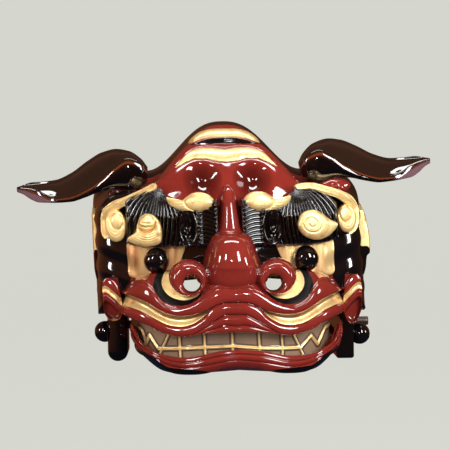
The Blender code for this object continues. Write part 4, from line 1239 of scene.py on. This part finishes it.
brushed_gold = eye_gold()
for side, word in SIDES:
    tile = tile_shape(
        [(side * x, z) for x, z in EYE_LINE], (side * EYE_MIDDLE[0], EYE_MIDDLE[1]),
        lambda x, z: hood_depth(x, z) - EYE_PROUD, lambda x, z: 0.25 * np.sin(x * 0.45), dome=1.5, rim=0.9,
    )
    plate = carved_grid(120, 44, tile, (side * 80, -40, 119))
    make_piece(f"gilded_eye_{word}", plate, (brushed_gold,), "head", [f"eye_plate_{word}"])
    pupil = turned(pupil_profile(PUPIL["radius"], PUPIL["stem"]), 72, "y")
    centre = leaned([(side * PUPIL["x"], PUPIL["y"], PUPIL["z"])])[0]
    bmesh.ops.translate(pupil, verts=pupil.verts, vec=Vector(centre))
    make_piece(f"black_pupil_{word}", pupil, (black_urushi,), "head", [f"pupil_{word}"])


# Side hair. A panel of long locks on each side of the hood, gilded at the top and left black below, where the
# leaf has been trimmed off in points.

SIDE_Y = (-26.0, 44.0)
SIDE_Z = (97.0, 176.0)
SIDE_PROUD = {
    "left": ((97, 1.5), (110, 2), (125, 2), (150, 2), (168, 2), (176, 1.5)),
    "right": ((97, 3), (112, 4), (118, 5), (122, 8.5), (133, 9), (153, 7), (168, 4), (176, 2)),
}
SIDE_BORDER = 0.05
SIDE_CORNER = 8.0
LOCK_WIDTH = 8.0
LOCK_DEPTH = 1.8
LEAF_EDGE = {"z": 128.0, "point": 9.0, "sway": 6.0}


def arch_number(y):
    """Number of the hood's arch at a depth."""
    depths = [row[0] for row in HOOD_ARCHES]
    return np.interp(y, depths, range(len(depths)))


def side_shape(side, word):
    """Locks that run down the side of the hood and bend a little."""

    def shape(u, v):
        across, up = inset(u, SIDE_BORDER), inset(v, SIDE_BORDER)
        z = SIDE_Z[0] + (SIDE_Z[1] - SIDE_Z[0]) * up
        corner = SIDE_CORNER * np.clip(np.abs(up - 0.5) * 2 - 0.8, 0, 1) / 0.2
        y = SIDE_Y[0] + corner + (SIDE_Y[1] - SIDE_Y[0] - 2 * corner) * across
        rim = in_border(u, v, SIDE_BORDER)
        phase = (y + 5 * np.sin(z / 17)) / LOCK_WIDTH
        lock = np.abs(np.sin(math.pi * phase)) ** 0.7
        proud = through(SIDE_PROUD[word])(z) - LOCK_DEPTH * (1 - lock)
        edge = np.clip(1 - np.minimum(across, 1 - across) / 0.04, 0, 1)
        proud = proud * (1 - 0.3 * edge ** 2) * (eased(up, -0.02, 0.16) * eased(1 - up, -0.02, 0.16)) ** 0.5
        x = ARCH["half_width"](arch_number(y)) + proud * (1 - rim) - SINK * rim
        point = LEAF_EDGE["point"] * np.abs(np.mod(phase, 1) - 0.5) * 2
        gold = z - LEAF_EDGE["z"] - point - LEAF_EDGE["sway"] * np.sin(y / 9)
        return as_points(side * x, y, z), {"gilding": gold, "blacking": np.full_like(u, EVERYWHERE)}

    return shape


black_and_gold = urushi("black_urushi_with_leaf", BLACK_URUSHI, None, "gilding")
for side, word in SIDES:
    locks = carved_grid(100, 84, side_shape(side, word), (side * 100, 10, 135))
    make_piece(f"side_locks_{word}", locks, (black_and_gold,), "head", [f"side_hair_{word}"])


# Cheek folds. Behind each corner of the mouth the bands of the lip turn down: red, a gilded band, a red
# ridge and a dark hollow, all on one block glued to the hood.

FOLD_LINE = (
    (118.5, 64), (119, 76), (121.5, 90), (127, 98), (132.5, 101), (137.5, 98), (139, 86), (138.8, 72),
    (137, 61), (130, 54.5), (122.5, 56.5),
)
FOLD_MIDDLE = (130.5, 72.0)
FOLD_FRONT_Y = -72.0
FOLD_PEAK = 136.0
FOLD_SLOPE = 1.05
FOLD_BANDS = {"hollow": 78.0, "ridge": 85.5, "gold": 92.5}
FOLD_HOLLOW = 11.0
FOLD_FOOT = {"left": 0.0, "right": 6.0}


def fold_level(x, z):
    """Height of the peaked line of the fold that a point lies on."""
    return z + FOLD_SLOPE * (np.sqrt((np.abs(x) - FOLD_PEAK) ** 2 + 9.0) - 3.0)


def fold_relief(x, z):
    """A hollow, a ridge and a shallow gilded channel."""
    level = fold_level(x, z)
    hollow = FOLD_HOLLOW * eased(level, FOLD_BANDS["hollow"], FOLD_BANDS["hollow"] - 5)
    return 2.2 * swell(level, 82, 2.6) - 1.6 * swell(level, 89, 3.0) - hollow


def fold_marks(x, z, depth):
    """The gilded channel, and on the left the foot as well."""
    level = fold_level(x, z)
    gold = np.minimum(level - FOLD_BANDS["ridge"], FOLD_BANDS["gold"] - level)
    gold = np.maximum(gold, np.where(x < 0, 56.3 - z, NOWHERE))
    return {"gilding": np.where(depth == 0, gold, NOWHERE)}


red_with_leaf = urushi("red_urushi_with_leaf", RED_URUSHI, None, "gilding")
for side, word in SIDES:
    outline = [(side * x, z - FOLD_FOOT[word] * (z < 57)) for x, z in FOLD_LINE]
    tile = tile_shape(
        outline, (side * FOLD_MIDDLE[0], FOLD_MIDDLE[1]), lambda x, z: np.full_like(x, FOLD_FRONT_Y),
        fold_relief, fold_marks, dome=2.0,
    )
    fold = carved_grid(112, 60, tile, (side * 130, -40, 75))
    make_piece(f"mouth_corner_{word}", fold, (red_with_leaf,), "head", [f"cheek_fold_{word}"])


# Ears. Each is a leaf carved from one piece of wood, thick where it turns on its peg and bent like an S
# towards the tip. The lacquer is black; its top face is brown, for the lacquer's brown depth and as a painted
# sheen from the room above, with a warm line along the edges.

EAR_COLUMNS = ("out", "back_z", "front_z", "under_z", "back_y", "front_y", "thick")
EAR_SECTIONS = (
    (-11, 13, 9, 0, 12, -17, 6),
    (-4, 22, 16, -5, 15, -20, 7),
    (10, 31, 20, -9, 20, -22, 7),
    (24, 34, 12, -8, 23, -22, 6),
    (40, 31, -1, -11, 25, -21, 5),
    (56, 22, -11, -17, 26, -18, 4.5),
    (74, 9, -18, -22, 25, -14, 4),
    (92, 1, -19.7, -22.8, 21, -10, 4),
    (108, -1, -13.5, -22, 14, -7, 4),
    (118, -1.5, -10, -18, 9, -4, 3.5),
    (126, -3, -8, -12.5, 6, -2, 3.5),
    (133, -5, -7, -9, 3, 0, 3),
)
EARS = (
    # word, side, hinge, lift of the blade in degrees
    ("left", -1, (-100.0, -14.0, 204.0), 0.0),
    ("right", 1, (91.6, -14.0, 209.0), 9.0),
)
EAR_BOW = 0.14
EAR_FLOOR_BOW = 0.6
EAR_UNDER_SET_BACK = 2.0
EAR_BEAD = 1.5
EAR_DISH = 1.2
EAR_BROWN_AND_SHEEN = "#24160F"
EAR_BLACK = "#080506"
EAR_EDGE_LINE = "#9C4A22"
EAR_TIP_UNDER = "#6B4E55"


def ear_lacquer():
    """Black urushi, brown on the top face for its depth and as a painted sheen, with a warm line along the
    edges and reddish under the tip.
    """
    finish = urushi("brown_black_urushi_with_painted_sheen", EAR_BROWN_AND_SHEEN, "blacking", None, EAR_BLACK, 0.06)
    tree = finish.node_tree
    colour = tree.nodes["Principled BSDF"].inputs["Base Color"]
    tone = mixed(tree, mark(tree, "warm_edge_line"), colour.links[0].from_socket, EAR_EDGE_LINE)
    tree.links.new(mixed(tree, mark(tree, "tip_under"), tone, EAR_TIP_UNDER), colour)
    return finish


def ear_loop():
    """The points round an ear's section, each as two readings, of Y and of Z, by the distance outwards."""
    outs = [row[0] for row in EAR_SECTIONS]
    rings = []
    for row in (dict(zip(EAR_COLUMNS, values)) for values in EAR_SECTIONS):
        back, front = Vector((row["back_y"], row["back_z"])), Vector((row["front_y"], row["front_z"]))
        under = Vector((row["front_y"] + EAR_UNDER_SET_BACK, row["under_z"]))
        across = front - back
        rise = Vector((across.y, -across.x)).normalized()
        rise = -rise if rise.y < 0 else rise
        bow = rise * EAR_BOW * across.length
        ring = [back.lerp(front, t) + bow * math.sin(math.pi * t) for t in (0.0, 0.25, 0.5, 0.75, 1.0)]
        ring.append(under)
        for t in (0.75, 0.5, 0.25):
            point = back.lerp(under, t) + bow * EAR_FLOOR_BOW * math.sin(math.pi * t)
            ring.append(point + Vector((0, -row["thick"])) * math.sin(math.pi * (1.0 - 0.85 * t)))
        rings.append(ring)
    lines = [list(zip(outs, points)) for points in zip(*rings)]
    return [[through([(out, point[k]) for out, point in line]) for k in (0, 1)] for line in lines]


EAR_LOOP = ear_loop()


def ear_shape(side, hinge, lift):
    """The whole skin of an ear; v runs round the section, from the back edge over the top to the front."""
    count = len(EAR_LOOP)

    def shape(u, v):
        first, last = EAR_SECTIONS[0][0], EAR_SECTIONS[-1][0]
        close = np.clip(np.minimum(u, 1 - u) / 0.03, 0, 1)
        out = first + (last - first) * np.clip((u - 0.03) / 0.94, 0, 1)
        corners = np.array([[read(out) for read in pair] for pair in EAR_LOOP])
        at = np.mod(v * count, count)
        i = np.minimum(at.astype(int), count - 1)
        t = at - i
        pick = np.arange(len(u))
        loop = rounded(*(corners[(i + k) % count, :, pick] for k in (-1, 0, 1, 2)), t[:, None])
        heart = corners.mean(axis=0).T
        round_end = np.sqrt(1 - (1 - close) ** 2)
        top = np.minimum(at, 4 - at)
        bead = EAR_BEAD * swell(top, 0.3, 0.16) - EAR_DISH * eased(top, 0.35, 0.7)
        loop[:, 1] += bead * eased(top, 0, 0.1) * eased(130 - out, 0, 14)
        loop = heart + (loop - heart) * round_end[:, None]
        turn = -math.radians(lift) * side
        x, y, z = side * out, loop[:, 0], loop[:, 1]
        x, z = x * math.cos(turn) + z * math.sin(turn), -x * math.sin(turn) + z * math.cos(turn)
        points = as_points(x + hinge[0], y + hinge[1], z + hinge[2])
        warm_line = 0.9 * swell(np.minimum(at, count - at), 0, 0.1) + 0.45 * swell(at, 4, 0.06)
        under = eased(out, 86, 98) * eased(np.minimum(at - 4.1, 7.8 - at), 0.0, 0.12)
        # The top face keeps its brown, which also stands for a painted sheen; the walls and the underside are
        # black.
        return points, {"blacking": -top * 4 + 0.1, "warm_edge_line": warm_line, "tip_under": under}

    return shape


brown_black = ear_lacquer()
for word, side, hinge, lift in EARS:
    ear_mesh = carved_grid(150, 88, ear_shape(side, hinge, lift), lean=False)
    bmesh.ops.recalc_face_normals(ear_mesh, faces=ear_mesh.faces)
    make_piece(f"leaf_ear_{word}", ear_mesh, (brown_black,), f"ear_{word}", [f"ear_{word}"])


# Ear bosses. Red lacquered lumps on the hood's shoulders, carved like the folds of the ear's root, where an
# ear comes to rest. The left one is painted dark red as shade, for it lies in the shadow of its ear.

EAR_BOSSES = (
    # word, centre, radii
    ("left", (-119.0, -26.0, 190.0), (13.0, 14.0, 7.0)),
    ("right", (119.0, -26.0, 195.0), (18.0, 14.0, 11.0)),
)
BOSS_FOLD = 0.05
SHADED_RED_URUSHI = "#3C120E"

# Painted shade: the left boss lies under its ear and is painted dark red.
boss_finish = {"left": urushi("red_urushi_painted_in_shade", SHADED_RED_URUSHI), "right": red_urushi}
for word, centre, radii in EAR_BOSSES:
    boss = bmesh.new()
    bmesh.ops.create_uvsphere(boss, u_segments=72, v_segments=48, radius=1.0)
    for vertex in boss.verts:
        fold = BOSS_FOLD * math.sin(vertex.co.x * 7 + vertex.co.z * 3) * (1 - vertex.co.z ** 2)
        place = [centre[i] + vertex.co[i] * (0.96 + fold) * radii[i] for i in range(3)]
        vertex.co = leaned([place])[0]
    make_piece(f"red_boss_{word}", boss, (boss_finish[word],), "head", [f"ear_boss_{word}"])


# Hinge. A black lacquered board on each side carries the turned rod that the jaw swings on; the boards end in
# rounded feet, and each has a turned knob that a tie cord would be wound on.

PLATES = (
    # word, inner face, outer face, rounding
    ("left", -115.0, -138.0, 11.3),
    ("right", 121.0, 141.2, 3.0),
)
PLATE_Y = (24.0, 98.0)
PLATE_TOP_Z = 98.0
KNOBS = (
    # word, side, outer face of the plate, centre
    ("left", -1, -138.3, (-141.0, 40.0, 33.5)),
    ("right", 1, 141.5, (149.0, 40.0, 26.5)),
)
KNOB_RADIUS = 12.0
ROD = {"y": 75.0, "z": 38.0, "radius": 5.0, "left_x": -141.0, "right_x": 163.0}
WOOD = "#4A3022"
WOOD_RING = "#1D110C"


def bare_wood():
    """Oiled wood with its grain along X, a year ring every 1.5 mm."""
    finish, tree, shader, place = new_finish("oiled_wood")
    drawn = stretched(tree, place, (30.0, 650.0, 650.0))
    grain = noise(tree, drawn, 1.0, 4.0)
    shader.inputs["Roughness"].default_value = 0.35
    tree.links.new(mixed(tree, grain, WOOD, WOOD_RING), shader.inputs["Base Color"])
    tree.links.new(bumped(tree, grain, 0.3, 0.0004), shader.inputs["Normal"])
    return finish


oiled_wood = bare_wood()
for word, inner, outer, rounding in PLATES:
    board = bmesh.new()
    bmesh.ops.create_cube(board, size=1.0)
    size = (abs(outer - inner), PLATE_Y[1] - PLATE_Y[0], PLATE_TOP_Z)
    centre = ((outer + inner) / 2, (PLATE_Y[0] + PLATE_Y[1]) / 2, PLATE_TOP_Z / 2)
    bmesh.ops.scale(board, vec=Vector(size) * 0.001, verts=board.verts)
    bmesh.ops.translate(board, vec=Vector(centre) * 0.001, verts=board.verts)
    bmesh.ops.bevel(
        board, geom=board.edges, affect="EDGES", offset=rounding * 0.001, segments=10, profile=0.5,
        material=-1,
    )
    node = f"hinge_plate_{word}"
    make_piece(f"hinge_board_{word}", board, (black_urushi,), "head", [node])

for word, side, seat, centre in KNOBS:
    cut = side * (seat - centre[0])
    reach = math.sqrt(KNOB_RADIUS ** 2 - cut ** 2)
    first = math.acos(cut / KNOB_RADIUS)
    profile = [(0, cut), (reach * 0.96, cut), (reach, cut + 0.3)]
    for i in range(1, 7):
        turn = first * (1 - i / 6)
        profile.append((KNOB_RADIUS * math.sin(turn), KNOB_RADIUS * math.cos(turn)))
    knob = turned([(radius, side * run) for radius, run in profile], 64, "x")
    bmesh.ops.translate(knob, verts=knob.verts, vec=Vector(centre) * 0.001)
    make_piece(f"turned_knob_{word}", knob, (black_urushi,), "head", [f"hinge_knob_{word}"])

radius, left, right = ROD["radius"], ROD["left_x"], ROD["right_x"]
rod_profile = [(0, left), (radius - 1, left), (radius, left + 1), (radius, 0), (radius, right - 1)]
rod_profile += [(radius - 1, right), (0, right)]
rod = turned(rod_profile, 48, "x")
bmesh.ops.translate(rod, verts=rod.verts, vec=Vector((0, ROD["y"], ROD["z"])) * 0.001)
make_piece("wooden_rod", rod, (oiled_wood,), "head", ["hinge_rod"])

for _, word in SIDES:
    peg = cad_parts[f"ear_pin_{word}"]
    peg.data.materials.clear()
    peg.data.materials.append(oiled_wood)


# Studio. A round set of pale paper, with its floor low enough for the jaw to swing open. The lacquer doesn't
# mirror the paper but a dark room, warm above and bluish below, in which only the soft lights show as crisp
# white shapes.

BACKDROP = "#D9DAD2"
PAPER = "#30302E"
FLOOR_Z = -140.0
PAPER_FLOOR = ((0, 0), (2500, 0))
PAPER_ROOM = (
    (2500, 0), (3000, 0), (3400, 120), (3700, 450), (3800, 900), (3600, 2200), (2400, 3400), (0, 4000),
)
ROOM_ABOVE = "#7A5340"
ROOM_AHEAD = "#5C3522"
ROOM_LEFT = "#B5653A"
ROOM_BELOW = "#1C2738"
CAMERA = {"azimuth": -1.5, "elevation": 1.5, "roll": 0.8, "aim": (-3.9, 0.0, 153.7), "distance": 1800.0}
LENS = 129.3
LIGHTS = (
    # name, place, aim, width, height, power in watts
    ("right_softbox", (560, -950, 560), (0, -60, 140), 260, 560, 12.0),
    ("left_softbox", (-600, -900, 520), (0, -60, 150), 90, 300, 4.0),
    ("overhead_strip", (0, -110, 980), (0, -40, 160), 850, 120, 5.0),
    ("left_window", (-950, -300, 330), (0, -60, 170), 110, 240, 2.6),
    ("right_window", (950, -300, 330), (0, -60, 170), 110, 240, 2.6),
    ("round_lamp", (-80, -1700, 400), (0, -100, 130), 80, 80, 3.5),
)


def paper():
    """Matt paper with its faint fibres; it glows a little, as the studio's own light on it."""
    finish, tree, shader, place = new_finish("pale_paper")
    shader.inputs["Base Color"].default_value = linear(PAPER)
    shader.inputs["Roughness"].default_value = 0.95
    shader.inputs["Specular IOR Level"].default_value = 0.0
    shader.inputs["Emission Color"].default_value = linear(BACKDROP)
    shader.inputs["Emission Strength"].default_value = 0.95
    tree.links.new(bumped(tree, noise(tree, place, 300.0, 3.0), 0.05, 0.0003), shader.inputs["Normal"])
    return finish


pale_paper = paper()
for name, profile, lit in (("paper_floor", PAPER_FLOOR, True), ("paper_room", PAPER_ROOM, False)):
    spun = bmesh.new()
    corners = [spun.verts.new((radius * 0.001, 0, (height + FLOOR_Z) * 0.001)) for radius, height in profile]
    for low, high in zip(corners, corners[1:]):
        spun.edges.new((low, high))
    bmesh.ops.spin(
        spun, geom=spun.verts[:] + spun.edges[:], axis=(0, 0, 1), angle=2 * math.pi, steps=96, use_merge=True
    )
    bmesh.ops.remove_doubles(spun, verts=spun.verts, dist=1e-4)
    bmesh.ops.recalc_face_normals(spun, faces=spun.faces)
    sheet = smooth_object(name, spun, (pale_paper,))
    sheet.visible_glossy = False
    sheet.visible_diffuse = lit
    sheet.visible_shadow = lit

for name, place, aim, width, height, power in LIGHTS:
    lamp = bpy.data.lights.new(name, "AREA")
    lamp.shape = "ELLIPSE" if name == "round_lamp" else "RECTANGLE"
    lamp.size, lamp.size_y = width * 0.001, height * 0.001
    lamp.energy = power
    holder = placed(name, lamp)
    holder.location = Vector(place) * 0.001
    look = (Vector(aim) - Vector(place)).to_track_quat("-Z", "Y")
    holder.rotation_euler = look.to_euler()

world = bpy.data.worlds.new("studio_room")
world.use_nodes = True
room = world.node_tree
way = add(room, "ShaderNodeTexCoord").outputs["Generated"]
across, _, height = add(room, "ShaderNodeSeparateXYZ", {}, {"Vector": way}).outputs
tone = mixed(room, ramp(room, across, 0.0, -0.6), ROOM_AHEAD, ROOM_LEFT)
tone = mixed(room, ramp(room, height, -0.25, -0.08), ROOM_BELOW, tone)
tone = mixed(room, ramp(room, height, 0.1, 0.5), tone, ROOM_ABOVE)
room.links.new(tone, room.nodes["Background"].inputs["Color"])
room.nodes["Background"].inputs["Strength"].default_value = 0.6
bpy.context.scene.world = world
bpy.context.scene.view_settings.view_transform = "Standard"

azimuth, elevation = math.radians(CAMERA["azimuth"]), math.radians(CAMERA["elevation"])
back = Vector(
    (math.cos(elevation) * math.sin(azimuth), -math.cos(elevation) * math.cos(azimuth), math.sin(elevation))
)
view = bpy.data.cameras.new("photograph_view")
view.lens = LENS
view.sensor_width = 36.0
eye = placed("photograph_view", view)
eye.rotation_mode = "QUATERNION"
eye.location = (Vector(CAMERA["aim"]) + back * CAMERA["distance"]) * 0.001
roll = Quaternion((0, 0, 1), -math.radians(CAMERA["roll"]))
eye.rotation_quaternion = (-back).to_track_quat("-Z", "Y") @ roll
bpy.context.scene.camera = eye
